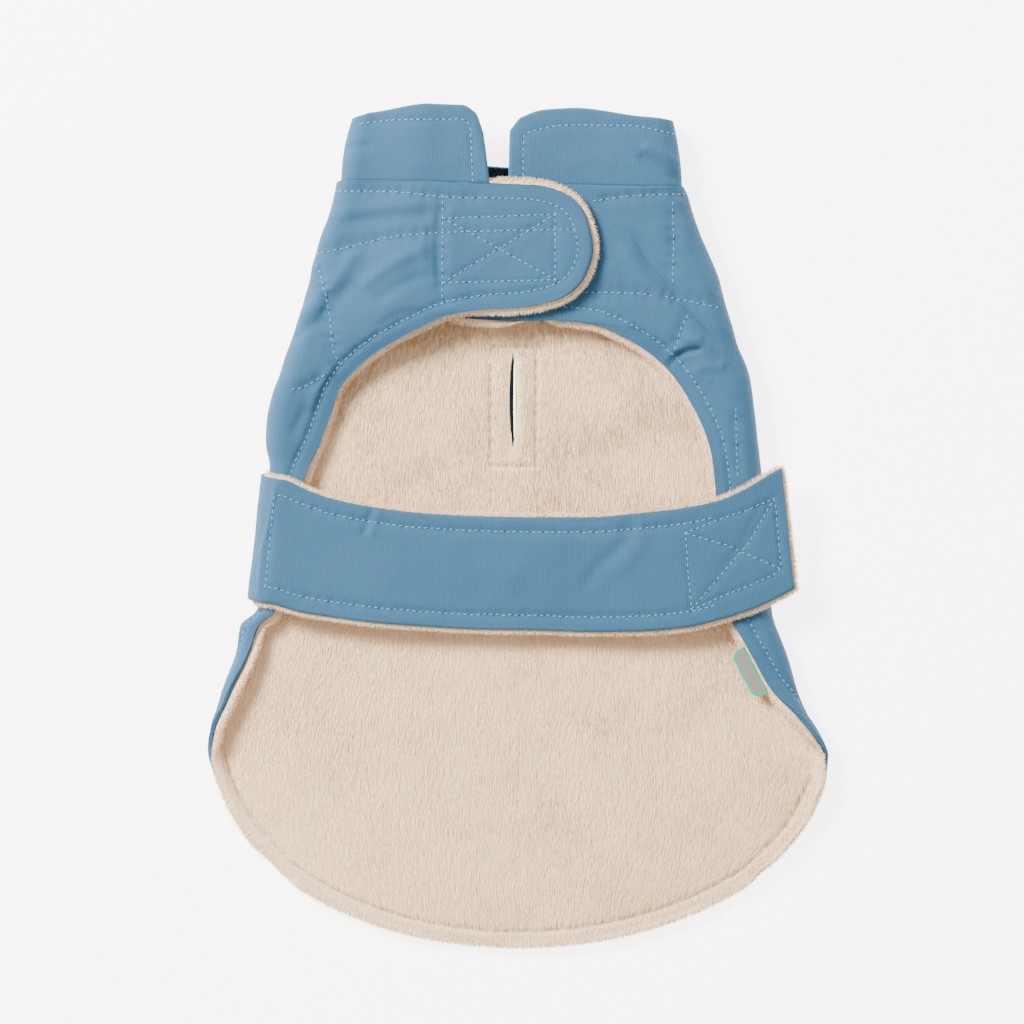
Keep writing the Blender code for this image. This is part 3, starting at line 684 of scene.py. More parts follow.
@lru_cache
def shell_trees():
    """A tree of each layer of the shell that lines are laid on."""
    grid = shell_form()[0]
    side = SHELL_STEPS[0] + SHELL_STEPS[1] + 1
    return {
        "left": surface_tree(grid[:, :side]),
        "right": surface_tree(grid[:, -side:]),
        "back": surface_tree(grid),
    }


@lru_cache
def free_edge_lines():
    """The topstitching that follows the shell's free edge, on its outer face."""
    grid = shell_form()[0]
    loop = rim_of(grid.shape)
    loop = loop[loop[:, 0] > 0]
    line = grid[loop[:, 0], loop[:, 1]]
    keep = np.linalg.norm(np.diff(line, axis=0, prepend=line[:1] - 1), axis=1) > 0.2
    loop, line = loop[keep], line[keep]
    out = outward(grid, rim_of(grid.shape))
    ways = {tuple(at): way for at, way in zip(rim_of(grid.shape).tolist(), out)}
    way = np.array([ways[tuple(at)] for at in loop.tolist()])
    inset = sizes().edge_stitch / MM
    tree = shell_trees()["back"]
    found = [tree.find_nearest(Vector(p)) for p in (line - inset * way).tolist()]
    return spaced(np.array([list(hit[0]) for hit in found]), LINE_STEP)


def quilt_squares():
    """The square quilting of the back, as far as the outline."""
    lines = []
    for x in (-91.5, -30.5, 30.5, 91.5):
        lines.append(Seam("back", [(x, 150), (x, -190)], QUILT_DEPTH, QUILT_WIDTH))
    for n in range(6):
        y = 135.5 - QUILT_PITCH * n
        lines.append(Seam("back", [(-150, y), (150, y)], QUILT_DEPTH, QUILT_WIDTH))
    return lines


@lru_cache
def shell_lines():
    """Each line on the shell: its points, its depth and width, and whether it is stitched."""
    trees = shell_trees()
    made = []
    for seam in QUILTING + BOXES + CREASES + quilt_squares():
        plan = rounded(seam.points, LINE_STEP)
        points = dropped(trees[seam.layer], plan, seam.layer == "back")
        if len(points) > 3:
            sewn = seam not in CREASES
            share = 1 if sewn else CREASE_SHARE
            made.append((points, seam.depth * share, seam.width, sewn))
    made.append((free_edge_lines(), STITCH_DEPTH, STITCH_WIDTH, True))
    return made


# ---------------------------------------------------------------------------------------------
# Materials


class Nodes:
    """A node tree, and the way to add nodes to it."""

    def node(self, kind, settings=None, sockets=None):
        node = self.tree.nodes.new(kind)
        for name, value in (settings or {}).items():
            setattr(node, name, value)
        for name, value in (sockets or {}).items():
            if isinstance(value, Value):
                value = value.socket
            if isinstance(value, bpy.types.NodeSocket):
                self.tree.links.new(value, node.inputs[name])
            else:
                node.inputs[name].default_value = value
        return node


class Value:
    """A socket that carries a number. Sums and products on it add Math nodes."""

    def __init__(self, paint, socket):
        self.paint, self.socket = paint, socket

    def math(self, operation, *others):
        values = [other.socket if isinstance(other, Value) else other for other in others]
        inputs = dict(enumerate([self.socket, *values]))
        node = self.paint.node("ShaderNodeMath", {"operation": operation}, inputs)
        return Value(self.paint, node.outputs[0])

    def __add__(self, other):
        return self.math("ADD", other)

    def __sub__(self, other):
        return self.math("SUBTRACT", other)

    def __rsub__(self, other):
        return (self * -1) + other

    def __mul__(self, other):
        return self.math("MULTIPLY", other)

    __radd__, __rmul__ = __add__, __mul__

    def sine(self):
        return self.math("SINE")

    def power(self, exponent):
        return self.math("POWER", exponent)

    def between(self, low, high):
        """0 at low and 1 at high, smoothly."""
        node = self.paint.node(
            "ShaderNodeMapRange",
            {"interpolation_type": "SMOOTHSTEP"},
            {"Value": self.socket, "From Min": low, "From Max": high},
        )
        return Value(self.paint, node.outputs[0])


class Paint(Nodes):
    """A new material, and its nodes."""

    def __init__(self, name, roughness=0.9, sheen=0.0):
        self.material = bpy.data.materials.new(name)
        self.material.use_nodes = True
        self.tree = self.material.node_tree
        self.shader = self.tree.nodes["Principled BSDF"]
        self.shader.inputs["Roughness"].default_value = roughness
        self.shader.inputs["Specular IOR Level"].default_value = 0.2
        self.shader.inputs["Sheen Weight"].default_value = sheen
        self.shader.inputs["Sheen Roughness"].default_value = 0.5

    def cloth_place(self):
        """Where a point lies on the cloth laid flat: across and along it, in metres."""
        place = self.node("ShaderNodeUVMap", {"uv_map": "cloth"})
        parts = self.node("ShaderNodeSeparateXYZ", None, {0: place.outputs[0]})
        return Value(self, parts.outputs[0]), Value(self, parts.outputs[1])

    def spot(self):
        return self.node("ShaderNodeTexCoord").outputs["Object"]

    def grain(self, across, along, scale_across, scale_along, detail=2.0, rough=0.5):
        """Noise that is drawn out along the cloth."""
        place = self.node(
            "ShaderNodeCombineXYZ", None, {0: across * scale_across, 1: along * scale_along}
        )
        node = self.node(
            "ShaderNodeTexNoise", None,
            {"Vector": place.outputs[0], "Scale": 1.0, "Detail": detail, "Roughness": rough},
        )
        return Value(self, node.outputs[0])

    def mottle(self, scale, detail=2.0):
        node = self.node(
            "ShaderNodeTexNoise", None,
            {"Vector": self.spot(), "Scale": scale, "Detail": detail, "Roughness": 0.5},
        )
        return Value(self, node.outputs[0])

    def mixed(self, share, first, second):
        node = self.node("ShaderNodeMix", {"data_type": "RGBA"}, {0: share})
        for socket, colour in ((node.inputs[6], first), (node.inputs[7], second)):
            if isinstance(colour, bpy.types.NodeSocket):
                self.tree.links.new(colour, socket)
            else:
                socket.default_value = (*colour, 1.0)
        return node.outputs[2]

    def plain(self, colour):
        self.shader.inputs["Base Color"].default_value = (*colour, 1.0)

    def colour(self, socket):
        self.tree.links.new(socket, self.shader.inputs["Base Color"])

    def relief(self, height, distance, strength=1.0):
        node = self.node(
            "ShaderNodeBump", None,
            {"Height": height, "Distance": distance, "Strength": strength},
        )
        self.tree.links.new(node.outputs[0], self.shader.inputs["Normal"])


def tint(colour, factor):
    return tuple(min(c * factor, 1.0) for c in colour)


def cotton_material(name, slant=0.0, contrast=1.0, base=None):
    """Fine-ribbed cotton. slant turns the ribs on the parts that fold over, in degrees."""
    paint = Paint(name, roughness=0.85, sheen=0.03)
    across, along = paint.cloth_place()
    pitch = 2 * math.pi / sizes().rib_pitch
    wobble = paint.grain(across, along, 300, 60) * 2.4
    ribs = (across * pitch + wobble).sine() * 0.5 + 0.5
    if slant:
        turn = math.radians(slant)
        turned = across * math.cos(turn) + across.math("SIGN") * along * math.sin(turn)
        other = (turned * (0.9 * pitch) + wobble).sine() * 0.5 + 0.5
        folded = across.math("ABSOLUTE").between(0.120, 0.135)
        ribs = ribs * (1 - folded) + other * folded
    threads = paint.grain(across, along, 2400, 900, 3.0, 0.6)
    specks = paint.grain(across, along, 900, 700, 2.0, 0.6)
    cloud = paint.mottle(16.0, 3.0)
    colour = base or coloured("cotton")
    rib_share = ribs * (0.26 * contrast) + threads * 0.6 + specks * 0.5 - 0.18
    shade = paint.mixed(rib_share, tint(colour, 0.66), tint(colour, 1.34))
    clouded = paint.mixed(cloud.between(0.35, 0.65) * 0.6, shade, tint(colour, 0.90))
    paint.colour(clouded)
    paint.relief(ribs * 0.35 * contrast + threads * 0.9 + specks * 0.5, 0.00024)
    return paint.material


def plush_material(name):
    """The ground of the plush: streaks along the nap, patches where it lies the other way, and
    painted shade in the sewn grooves.
    """
    paint = Paint(name, roughness=0.95, sheen=0.1)
    across, along = paint.cloth_place()
    streaks = paint.grain(across, along, 1300, 190, 3.0, 0.6)
    patches = paint.grain(across, along, 22, 15, 2.0, 0.5)
    colour = tint(coloured("plush"), 0.95)
    deep = tint((colour[0], colour[1] * 0.9, colour[2] * 0.8), 0.8)
    shade = paint.mixed(streaks.between(0.30, 0.62), deep, colour)
    patched = paint.mixed(patches.between(0.55, 0.75) * 0.25, shade, deep)
    # The groove attribute darkens the ground towards a brown: painted shade in the sewn grooves.
    groove = paint.node("ShaderNodeAttribute", {"attribute_name": "groove"})
    sewn = Value(paint, groove.outputs["Fac"])
    groove_shade = tint((deep[0], deep[1] * 0.85, deep[2] * 0.7), 0.7)
    paint.colour(paint.mixed(sewn * 0.7, patched, groove_shade))
    paint.relief(streaks, 0.0006)
    return paint.material


@lru_cache
def tuft_materials():
    """The pile's tones, from deep to light. Each is plain, with a little drift over the coat."""
    made = []
    for tone in TONES:
        paint = Paint(f"tuft_{int(tone * 100)}", roughness=0.9, sheen=0.1)
        r, g, b = coloured("plush")
        warm = 1 - (1 - tone) * 0.30
        colour = tint((r, g * warm, b * warm**2), tone)
        paint.plain(colour)
        made.append(paint.material)
    return made


def thread_material():
    paint = Paint("thread", roughness=0.55, sheen=0.1)
    twist = paint.mottle(2600.0, 1.0)
    colour = coloured("thread")
    paint.colour(paint.mixed(twist, tint(colour, 0.82), tint(colour, 1.15)))
    return paint.material


def painted_hole_shade_material():
    """Painted shade in a stitch's needle hole: the cotton's colour, darkened."""
    paint = Paint("needle_hole", roughness=0.95)
    paint.plain(tint(coloured("cotton"), 0.42))
    return paint.material


# ---------------------------------------------------------------------------------------------
# Geometry Nodes


class Tree(Nodes):
    """A geometry node tree with named inputs."""

    def __init__(self, name, inputs):
        self.tree = bpy.data.node_groups.new(name, "GeometryNodeTree")
        self.tree.is_modifier = True
        face = self.tree.interface
        face.new_socket("Geometry", in_out="INPUT", socket_type="NodeSocketGeometry")
        for kind, labels in inputs.items():
            for label in labels:
                face.new_socket(label, in_out="INPUT", socket_type="NodeSocket" + kind)
        face.new_socket("Geometry", in_out="OUTPUT", socket_type="NodeSocketGeometry")
        self.input = self.tree.nodes.new("NodeGroupInput").outputs
        self.output = self.tree.nodes.new("NodeGroupOutput").inputs

    def add(self, kind, settings=None, sockets=None, result=0):
        return self.node(kind, settings, sockets).outputs[result]

    def math(self, operation, *values):
        return self.add("ShaderNodeMath", {"operation": operation}, dict(enumerate(values)))

    def vector_math(self, operation, first, second):
        return self.add("ShaderNodeVectorMath", {"operation": operation}, {0: first, 1: second})

    def scaled(self, vector, factor):
        return self.add(
            "ShaderNodeVectorMath", {"operation": "SCALE"}, {0: vector, "Scale": factor}
        )

    def combined(self, x, y, z):
        return self.add("ShaderNodeCombineXYZ", None, {0: x, 1: y, 2: z})

    def random(self, low, high, seed):
        values = {2: low, 3: high, "Seed": seed}
        return self.add("FunctionNodeRandomValue", {"data_type": "FLOAT"}, values, 1)

    def random_vector(self, low, high, seed):
        values = {0: low, 1: high, "Seed": seed}
        return self.add("FunctionNodeRandomValue", {"data_type": "FLOAT_VECTOR"}, values)

    def turned_to(self, vector, axis, rotation=None, pivot="AUTO"):
        """A rotation that brings an axis round to a vector."""
        sockets = {"Vector": vector} if rotation is None else {"Vector": vector, "Rotation": rotation}
        settings = {"axis": axis, "pivot_axis": pivot}
        return self.add("FunctionNodeAlignRotationToVector", settings, sockets)

    def compared(self, operation, first, second):
        settings = {"data_type": "FLOAT", "operation": operation}
        return self.add("FunctionNodeCompare", settings, {0: first, 1: second})

    def painted(self, geometry, material, chosen=True):
        return self.add("GeometryNodeSetMaterial", None, {
            "Geometry": geometry, "Selection": chosen, "Material": material,
        })

    def copied(self, points, instance, **where):
        """The instance at each point, as real geometry."""
        made = self.add("GeometryNodeInstanceOnPoints", None, {
            "Points": points, "Instance": instance, **where,
        })
        return self.add("GeometryNodeRealizeInstances", None, {0: made})

    def attribute(self, name, kind):
        return self.add("GeometryNodeInputNamedAttribute", {"data_type": kind}, {"Name": name})

    def finish(self, geometry):
        self.tree.links.new(geometry, self.output[0])
        return self.tree


def drop_attributes(obj, *names):
    for name in names:
        if name in obj.data.attributes:
            obj.data.attributes.remove(obj.data.attributes[name])


def grown(name, source, tree, values):
    """The mesh that a node tree makes from a source, as a plain piece. The source is kept."""
    modifier = source.modifiers.new(tree.name, "NODES")
    modifier.node_group = tree
    for item in tree.interface.items_tree:
        if item.in_out == "INPUT" and item.name in values:
            modifier[item.identifier] = values[item.name]
    bpy.context.view_layer.update()
    evaluated = source.evaluated_get(bpy.context.evaluated_depsgraph_get())
    mesh = bpy.data.meshes.new_from_object(evaluated)
    source.modifiers.remove(modifier)
    mesh.name = name
    return placed(name, mesh)


@lru_cache
def stitch_tree():
    """A running stitch along a line: short rounded threads, a pitch apart, lying on the cloth."""
    tree = Tree("running_stitch", {
        "Float": ("Pitch", "Length", "Width"), "Material": ("Thread", "Hole"),
    })
    given = tree.input
    curve = tree.add("GeometryNodeMeshToCurve", None, {"Mesh": given["Geometry"]})
    even = tree.add(
        "GeometryNodeResampleCurve", {"mode": "LENGTH"}, {"Curve": curve, "Length": given["Pitch"]}
    )
    ball = tree.add("GeometryNodeMeshUVSphere", None, {"Segments": 6, "Rings": 5, "Radius": 0.5})
    thick = tree.math("MULTIPLY", given["Width"], THREAD_FLATNESS)
    size = tree.combined(given["Length"], given["Width"], thick)
    thread = tree.add("GeometryNodeTransform", None, {0: ball, "Scale": size})
    # Between the stitches lies a thin dark sheet in the Hole material: painted shade of the needle
    # holes.
    gap = tree.math("SUBTRACT", given["Pitch"], given["Length"])
    size = tree.combined(tree.math("MULTIPLY", gap, 0.85), given["Width"], HOLE_HEIGHT)
    place = tree.combined(tree.math("MULTIPLY", given["Pitch"], 0.5), 0.0, -HOLE_DROP)
    hole = tree.add("GeometryNodeTransform", None, {0: ball, "Scale": size, "Translation": place})
    both = tree.node("GeometryNodeJoinGeometry")
    for part in (tree.painted(thread, given["Thread"]), tree.painted(hole, given["Hole"])):
        tree.tree.links.new(part, both.inputs[0])
    along = tree.turned_to(tree.add("GeometryNodeInputTangent"), "X")
    flat = tree.turned_to(tree.attribute("up", "FLOAT_VECTOR"), "Z", along, "X")
    slant = tree.random_vector((0.0, 0.0, LEAST_SLANT), (0.0, 0.0, MOST_SLANT), 3)
    turn = tree.add("FunctionNodeEulerToRotation", None, {0: slant})
    turned = tree.add("FunctionNodeRotateRotation", {"rotation_space": "LOCAL"}, {0: flat, 1: turn})
    real = tree.copied(even, both.outputs[0], Rotation=turned)
    return tree.finish(tree.add("GeometryNodeSetShadeSmooth", None, {0: real}))


@lru_cache
def pile_tree():
    """Plush pile: thin tufts that lean with the nap, in four tones, thicker where pile is high."""
    tones = [f"Tone {n + 1}" for n in range(len(TONES))]
    tree = Tree("plush_pile", {
        "Float": ("Density", "Length", "Width", "Lean"), "Int": ("Seed",), "Material": tones,
    })
    given = tree.input
    amount = tree.math("MULTIPLY", tree.attribute("pile", "FLOAT"), given["Density"])
    spread = tree.node("GeometryNodeDistributePointsOnFaces", {"distribute_method": "RANDOM"}, {
        "Mesh": given["Geometry"], "Density": amount, "Seed": given["Seed"],
    }).outputs
    rise = tree.scaled(spread["Normal"], tree.math("COSINE", given["Lean"]))
    run = tree.scaled(tree.attribute("nap", "FLOAT_VECTOR"), tree.math("SINE", given["Lean"]))
    jitter = tree.random_vector(LEAST_JITTER, MOST_JITTER, 11)
    place = tree.add("GeometryNodeInputPosition")
    drift = {"Vector": place, "Scale": 42.0, "Detail": 2.0}
    drift = tree.add("ShaderNodeTexNoise", None, drift, "Color")
    drift = tree.scaled(tree.vector_math("SUBTRACT", drift, (0.5, 0.5, 0.5)), DRIFT)
    way = tree.vector_math("ADD", tree.vector_math("ADD", rise, run), jitter)
    way = tree.vector_math("ADD", way, drift)
    turned = tree.turned_to(spread["Normal"], "X", tree.turned_to(way, "Z"), "Z")
    length = tree.math("MULTIPLY", given["Length"], tree.random(0.65, 1.15, 5))
    length = tree.math("MULTIPLY", length, tree.attribute("reach", "FLOAT"))
    flat = tree.math("MULTIPLY", given["Width"], TUFT_FLATNESS)
    size = tree.combined(flat, given["Width"], length)

    # A tuft is a three-sided cone without the side that lies underneath.
    tuft = tree.add("GeometryNodeMeshCone", {"fill_type": "NONE"}, {
        "Vertices": 3, "Side Segments": 1, "Radius Top": 0.0, "Radius Bottom": 0.5, "Depth": 1.0,
    })
    spot = tree.add("ShaderNodeSeparateXYZ", None, {0: place})
    tuft = tree.add("GeometryNodeDeleteGeometry", {"domain": "FACE"}, {
        "Geometry": tuft, "Selection": tree.compared("LESS_THAN", spot, -0.02),
    })

    patches = tree.add("ShaderNodeTexNoise", None, {"Vector": place, "Scale": 27.0, "Detail": 2.0})
    patches = tree.math("MULTIPLY", tree.math("SUBTRACT", 0.52, patches), 0.9)
    # The patch attribute draws the tufts to deeper tones: brushed nap, and painted shade by the
    # opening's edges.
    brushed_and_shaded = tree.math("MULTIPLY", tree.attribute("patch", "FLOAT"), -0.42)
    luck = tree.math("ADD", tree.math("MULTIPLY", tree.random(0.0, 1.0, 8), 0.85), brushed_and_shaded)
    stored = tree.add("GeometryNodeStoreNamedAttribute", {"data_type": "FLOAT", "domain": "POINT"}, {
        "Geometry": spread["Points"], "Name": "shade", "Value": tree.math("ADD", luck, patches),
    })
    painted = tree.painted(tree.copied(stored, tuft, Rotation=turned, Scale=size), given[tones[0]])
    level = tree.attribute("shade", "FLOAT")
    for tone, least in zip(tones[1:], TONE_STEPS):
        painted = tree.painted(painted, given[tone], tree.compared("GREATER_THAN", level, least))
    return tree.finish(painted)


def grow_pile(name, source, lean, seed):
    """The pile of a source mesh that holds pile, nap and reach at its points."""
    values = {
        "Density": sizes().pile_count * 1e4, "Length": sizes().pile_length,
        "Width": sizes().tuft_width, "Lean": math.radians(lean), "Seed": seed,
        **{f"Tone {n + 1}": made for n, made in enumerate(tuft_materials())},
    }
    obj = grown(name, source, pile_tree(), values)
    drop_attributes(obj, "shade", "pile", "nap", "reach", "groove", "patch")
    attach(obj, "root")
    return obj


def stitched(name, lines, target, lift=0.12):
    """Running stitch along these lines, laid on the finished surface of the target."""
    tree = BVHTree.FromObject(target, bpy.context.evaluated_depsgraph_get())
    points, edges, ups = [], [], []
    for line in lines:
        start = len(points)
        for p in spaced(line, LINE_STEP) * MM:
            spot, normal, _, _ = tree.find_nearest(Vector(p))
            points.append(list(spot + normal * lift * MM))
            ups.append(list(normal))
        edges += [(n, n + 1) for n in range(start, len(points) - 1)]
    mesh = bpy.data.meshes.new(name + "_path")
    mesh.from_pydata(points, edges, [])
    path = placed(name + "_path", mesh)
    set_attribute(path, "up", "FLOAT_VECTOR", ups)
    obj = grown(name, path, stitch_tree(), {
        "Pitch": sizes().stitch_pitch, "Length": sizes().stitch_length,
        "Width": sizes().thread_width, "Thread": shared("thread", thread_material),
        "Hole": shared("needle_hole", painted_hole_shade_material),
    })
    bpy.data.objects.remove(path, do_unlink=True)
    drop_attributes(obj, "up")
    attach(obj, "root")
    return obj


def shared(name, make):
    return bpy.data.materials.get(name) or make()


def slit_prism(width, shift):
    """A tall prism in the outline of the slit, to cut it with."""
    half, bulge = SLIT_LENGTH / 2, width / 2
    steps = np.linspace(-1, 1, 25)
    middle = SLIT_X + shift
    outline = [(middle + bulge * (1 - s * s), SLIT_Y + half * s) for s in steps]
    outline += [(middle - bulge * (1 - s * s), SLIT_Y + half * s) for s in steps[-2:0:-1]]
    count = len(outline)
    points = [(x * MM, y * MM, z * MM) for z in (-20, 9.5) for x, y in outline]
    faces = [tuple(range(count))[::-1], tuple(range(count, 2 * count))]
    faces += [(n, (n + 1) % count, count + (n + 1) % count, count + n) for n in range(count)]
    mesh = bpy.data.meshes.new("slit_prism")
    mesh.from_pydata(points, [], faces)
    return placed("slit_prism", mesh)


def cut_slit(obj, width, shift=0.0):
    prism = slit_prism(width, shift)
    cut = obj.modifiers.new("leash_slit", "BOOLEAN")
    cut.operation, cut.solver, cut.object = "DIFFERENCE", "EXACT", prism
    bpy.context.view_layer.update()
    graph = bpy.context.evaluated_depsgraph_get()
    mesh = bpy.data.meshes.new_from_object(
        obj.evaluated_get(graph), preserve_all_data_layers=True, depsgraph=graph
    )
    obj.modifiers.remove(cut)
    old, obj.data = obj.data, mesh
    bpy.data.meshes.remove(old)
    bpy.data.objects.remove(prism, do_unlink=True)


# ---------------------------------------------------------------------------------------------
# The pieces


class COAT_OT_shell(bpy.types.Operator):
    """Quilted outer cloth: the back, the chest wings and the closing tab, in one cut"""

    bl_idname = "coat.shell"
    bl_label = "Quilted shell"

    def execute(self, context):
        grid, cloth = shell_form()
        normals = normals_of(grid)
        depth = pressed(grid, shell_lines())
        swell = waves(grid, 46.0, 1.1, 1) + waves(grid, 17.0, 0.6, 2)
        loop = rim_of(grid.shape)
        swell[loop[:, 0], loop[:, 1]] = 0
        lying = smooth((grid[:, :, 2] - 1.0) / 3.0)
        off = swell * lying + 0.5 * lying - depth * np.maximum(lying, 0.75)
        outer = grid + normals * off[:, :, None]
        outer[:, :, 2] = np.maximum(outer[:, :, 2], 0.05)
        inner = grid - normals * SHELL_WALL
        obj = wall_mesh("shell_cloth", outer, inner, cloth, 3, 0.5, two_sided=True)
        obj.data.materials.append(cotton_material("ribbed_cotton", slant=52.0))
        # The shell's inner face takes the cotton darkened to a quarter: painted shade.
        inside = tint(coloured("cotton"), 0.25)
        obj.data.materials.append(cotton_material("cotton_inside", base=inside))
        cut_slit(obj, SLIT_WIDTH_OUTSIDE, SLIT_SHIFT)
        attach(obj, "root")
        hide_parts("body_shell")
        return {"FINISHED"}


class COAT_OT_lining(bpy.types.Operator):
    """Plush lining, rolled out past the free edges, with its pile"""

    bl_idname = "coat.lining"
    bl_label = "Plush lining"

    def execute(self, context):
        grid, cloth = body_form(ROWS_OF_LINING, *LINING_STEPS)
        normals = normals_of(grid)
        by_hem = smooth((np.arange(len(grid)) - (len(grid) - 15)) / 8)[:, None, None]
        normals = normals * (1 - by_hem) + np.array([0.0, 0.0, -1.0]) * by_hem
        outer = rolled(grid - normals * (SHELL_WALL + SEAM_GAP), EDGE_ROLL)
        inner = grid - normals * (SHELL_WALL + SEAM_GAP + LINING_WALL)
        loop = rim_of(grid.shape)
        below = loop[:, 0] > 0
        out = outward(inner, loop)
        seam = spaced((inner[loop[:, 0], loop[:, 1]] - HEM_STITCH * out)[below], LINE_STEP)
        floor = SHELL_WALL + SEAM_GAP + LINING_WALL
        box = np.array([(x, y, floor) for x, y in spaced(SLIT_BOX, LINE_STEP)])
        grooves = [
            (seam, 1.5, 1.3, True),
            (box, 1.7, 1.1, True),
            (np.array([(1.0, y, floor) for y in np.linspace(-112, -206, 90)]), 0.5, 1.2, False),
        ]
        folds = [
            (np.array([(x, y, floor) for y in np.linspace(86, 38, 50)]), -1.1, 2.6, False)
            for x in (SLIT_X - 4.6, SLIT_X + 4.6)
        ]
        swell = waves(inner, 34.0, 0.9, 4) + waves(inner, 11.0, 0.3, 5)
        swell[loop[:, 0], loop[:, 1]] = 0
        shown = smooth((0.45 - normals[:, :, 2]) / 0.3) * smooth((120 - inner[:, :, 1]) / 4)
        sunk = pressed(inner, grooves) + pressed(inner, folds)
        face = rolled(inner - normals * (swell * shown - sunk)[:, :, None], EDGE_ROLL)
        obj = wall_mesh("lining_plush", face, outer, cloth, 3, 1.0)

        # The pile lies along the cloth's length, and stands off its edges.
        nap = np.gradient(face, axis=0)
        nap /= np.maximum(np.linalg.norm(nap, axis=2), 1e-9)[:, :, None]
        turned = outward(face, loop)
        edge = 0.42 * turned + np.array([0.0, -0.33, 0.0])
        rim = inner[loop[:, 0], loop[:, 1]][below]
        gaps = [np.linalg.norm(row[:, None] - rim[None], axis=2) for row in inner]
        to_rim = np.stack([gap.min(axis=1) for gap in gaps])
        off_rim = np.stack([turned[below][gap.argmin(axis=1)] for gap in gaps])
        by_rim = 0.7 * smooth((5.5 - to_rim) / 4.0)[:, :, None]
        nap = nap * (1 - by_rim) + off_rim * by_rim
        nap[loop[:, 0], loop[:, 1]] = edge
        near_groove = np.clip(pressed(inner, grooves[:2]) / 1.2, 0, 1)
        half = (SLIT_WIDTH / 2) * (1 - ((inner[:, :, 1] - SLIT_Y) / (SLIT_LENGTH / 2)) ** 2)
        off_slit = np.abs(inner[:, :, 0] - SLIT_X) - np.maximum(half, 0)
        off_slit = np.where(np.abs(inner[:, :, 1] - SLIT_Y) < SLIT_LENGTH / 2 + 2, off_slit, 9)
        off_slit = np.where(inner[:, :, 2] < 9, off_slit, 9)
        open_slit = smooth((off_slit - 0.8) / 1.2)
        pile = shown * (1 - 0.92 * near_groove) * open_slit
        reach = (1 - 0.5 * near_groove) * (0.45 + 0.55 * smooth((off_slit - 1.5) / 3.5))
        reach *= 0.42 + 0.58 * smooth((to_rim - 1.5) / 4.5)
        pile[loop[:, 0], loop[:, 1]] = 1.3
        reach[loop[:, 0], loop[:, 1]] = 0.5
        rings = 4
        edge_pile = np.where(below, 1.9, 0.0)
        edge_reach = np.full(len(loop), 0.45)
        nap = np.vstack([nap.reshape(-1, 3), np.tile(edge, (rings, 1))])
        set_attribute(obj, "nap", "FLOAT_VECTOR", nap)
        for name, inside, at_edge in (("pile", pile, edge_pile), ("reach", reach, edge_reach)):
            set_attribute(obj, name, "FLOAT", np.append(inside.reshape(-1), np.tile(at_edge, rings)))
        # groove also darkens the ground's colour there: painted shade in the sewn grooves.
        set_attribute(obj, "groove", "FLOAT", near_groove)
        # patch: darker patches of brushed nap and of painted shade, with less of them towards the
        # tail.
        lighter = 0.35 * smooth((-30 - inner[:, :, 1]) / 40)
        set_attribute(obj, "patch", "FLOAT", patches_at(inner) - lighter)
        piles = self.pile_in_two(obj)
        obj.data.materials.append(shared("plush_ground", lambda: plush_material("plush_ground")))
        cut_slit(obj, SLIT_WIDTH)
        drop_attributes(obj, "pile", "nap", "reach", "patch")
        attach(obj, "root")
        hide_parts("body_lining")
        return {"FINISHED"}

    @staticmethod
    def pile_in_two(obj):
        """The pile of the front half and of the tail, each a piece of its own."""
        places = np.empty(len(obj.data.vertices) * 3, np.float32)
        obj.data.vertices.foreach_get("co", places)
        y = places.reshape(-1, 3)[:, 1]
        whole = np.empty(len(y), np.float32)
        obj.data.attributes["pile"].data.foreach_get("value", whole)
        made = []
        for name, part, seed in (
            ("pile_front", y > PILE_SPLIT, 21), ("pile_tail", y <= PILE_SPLIT, 22)
        ):
            kept = np.where(part, whole, 0).astype(np.float32)
            obj.data.attributes["pile"].data.foreach_set("value", kept)
            made.append(grow_pile(name, obj, PILE_LEAN, seed))
        return made


def collar_surface():
    """The collar's outer face, from its top edge down to the neck seam."""
    on_curl, on_wing = 24, 60
    across_back = np.linspace(-1, 1, 61)[1:-1]
    grid = body_form(np.array([0.0, 0.125]), on_curl, on_wing, across_back)[0]
    normals = normals_of(grid)[0]
    inset = (SHELL_WALL + SEAM_GAP + LINING_WALL - COLLAR_WALL) / 2
    seam = grid[0] - normals * inset + np.array([0, COLLAR_GAP, 0])
    left, right = LEFT[0], RIGHT[0]
    top = seam.copy()
    last, on_side = len(seam) - 1, on_wing + on_curl
    for j, (x, y, z) in enumerate(seam):
        if j < last / 2 and x < 0:
            half, side, end_x = COLLAR_LEFT, left, seam[0][0]
        else:
            half, side, end_x = COLLAR_RIGHT, right, seam[-1][0]
        reach, height = (np.array(column, float) for column in zip(*half.height_at))
        if on_side <= j <= last - on_side:
            flat = abs(side.outline_x) - side.arc / math.pi
            top_x = x * half.side_x / side.outline_x
            rise = height[-1] + (COLLAR_BACK_HEIGHT - height[-1]) * hem_arc(np.array([x / flat]))[0]
        else:
            share = (x - end_x) / (side.outline_x - end_x)
            top_x = half.end_x + share * (half.side_x - half.end_x)
            at = np.interp(abs(x - end_x), reach, np.arange(len(reach)))
            rise = eased(height, np.array([at]))[0]
        top[j] = (top_x, y + rise, z * COLLAR_TOP_DEPTH)
    levels = np.linspace(1, 0, 31)[:, None, None]
    band = seam + (top - seam) * levels
    across = np.concatenate([[0], np.cumsum(np.linalg.norm(np.diff(seam, axis=0), axis=1))])
    place = np.stack([
        np.tile(across, (len(levels), 1)),
        np.linalg.norm(band - seam, axis=2),
    ], axis=2)
    return band, place


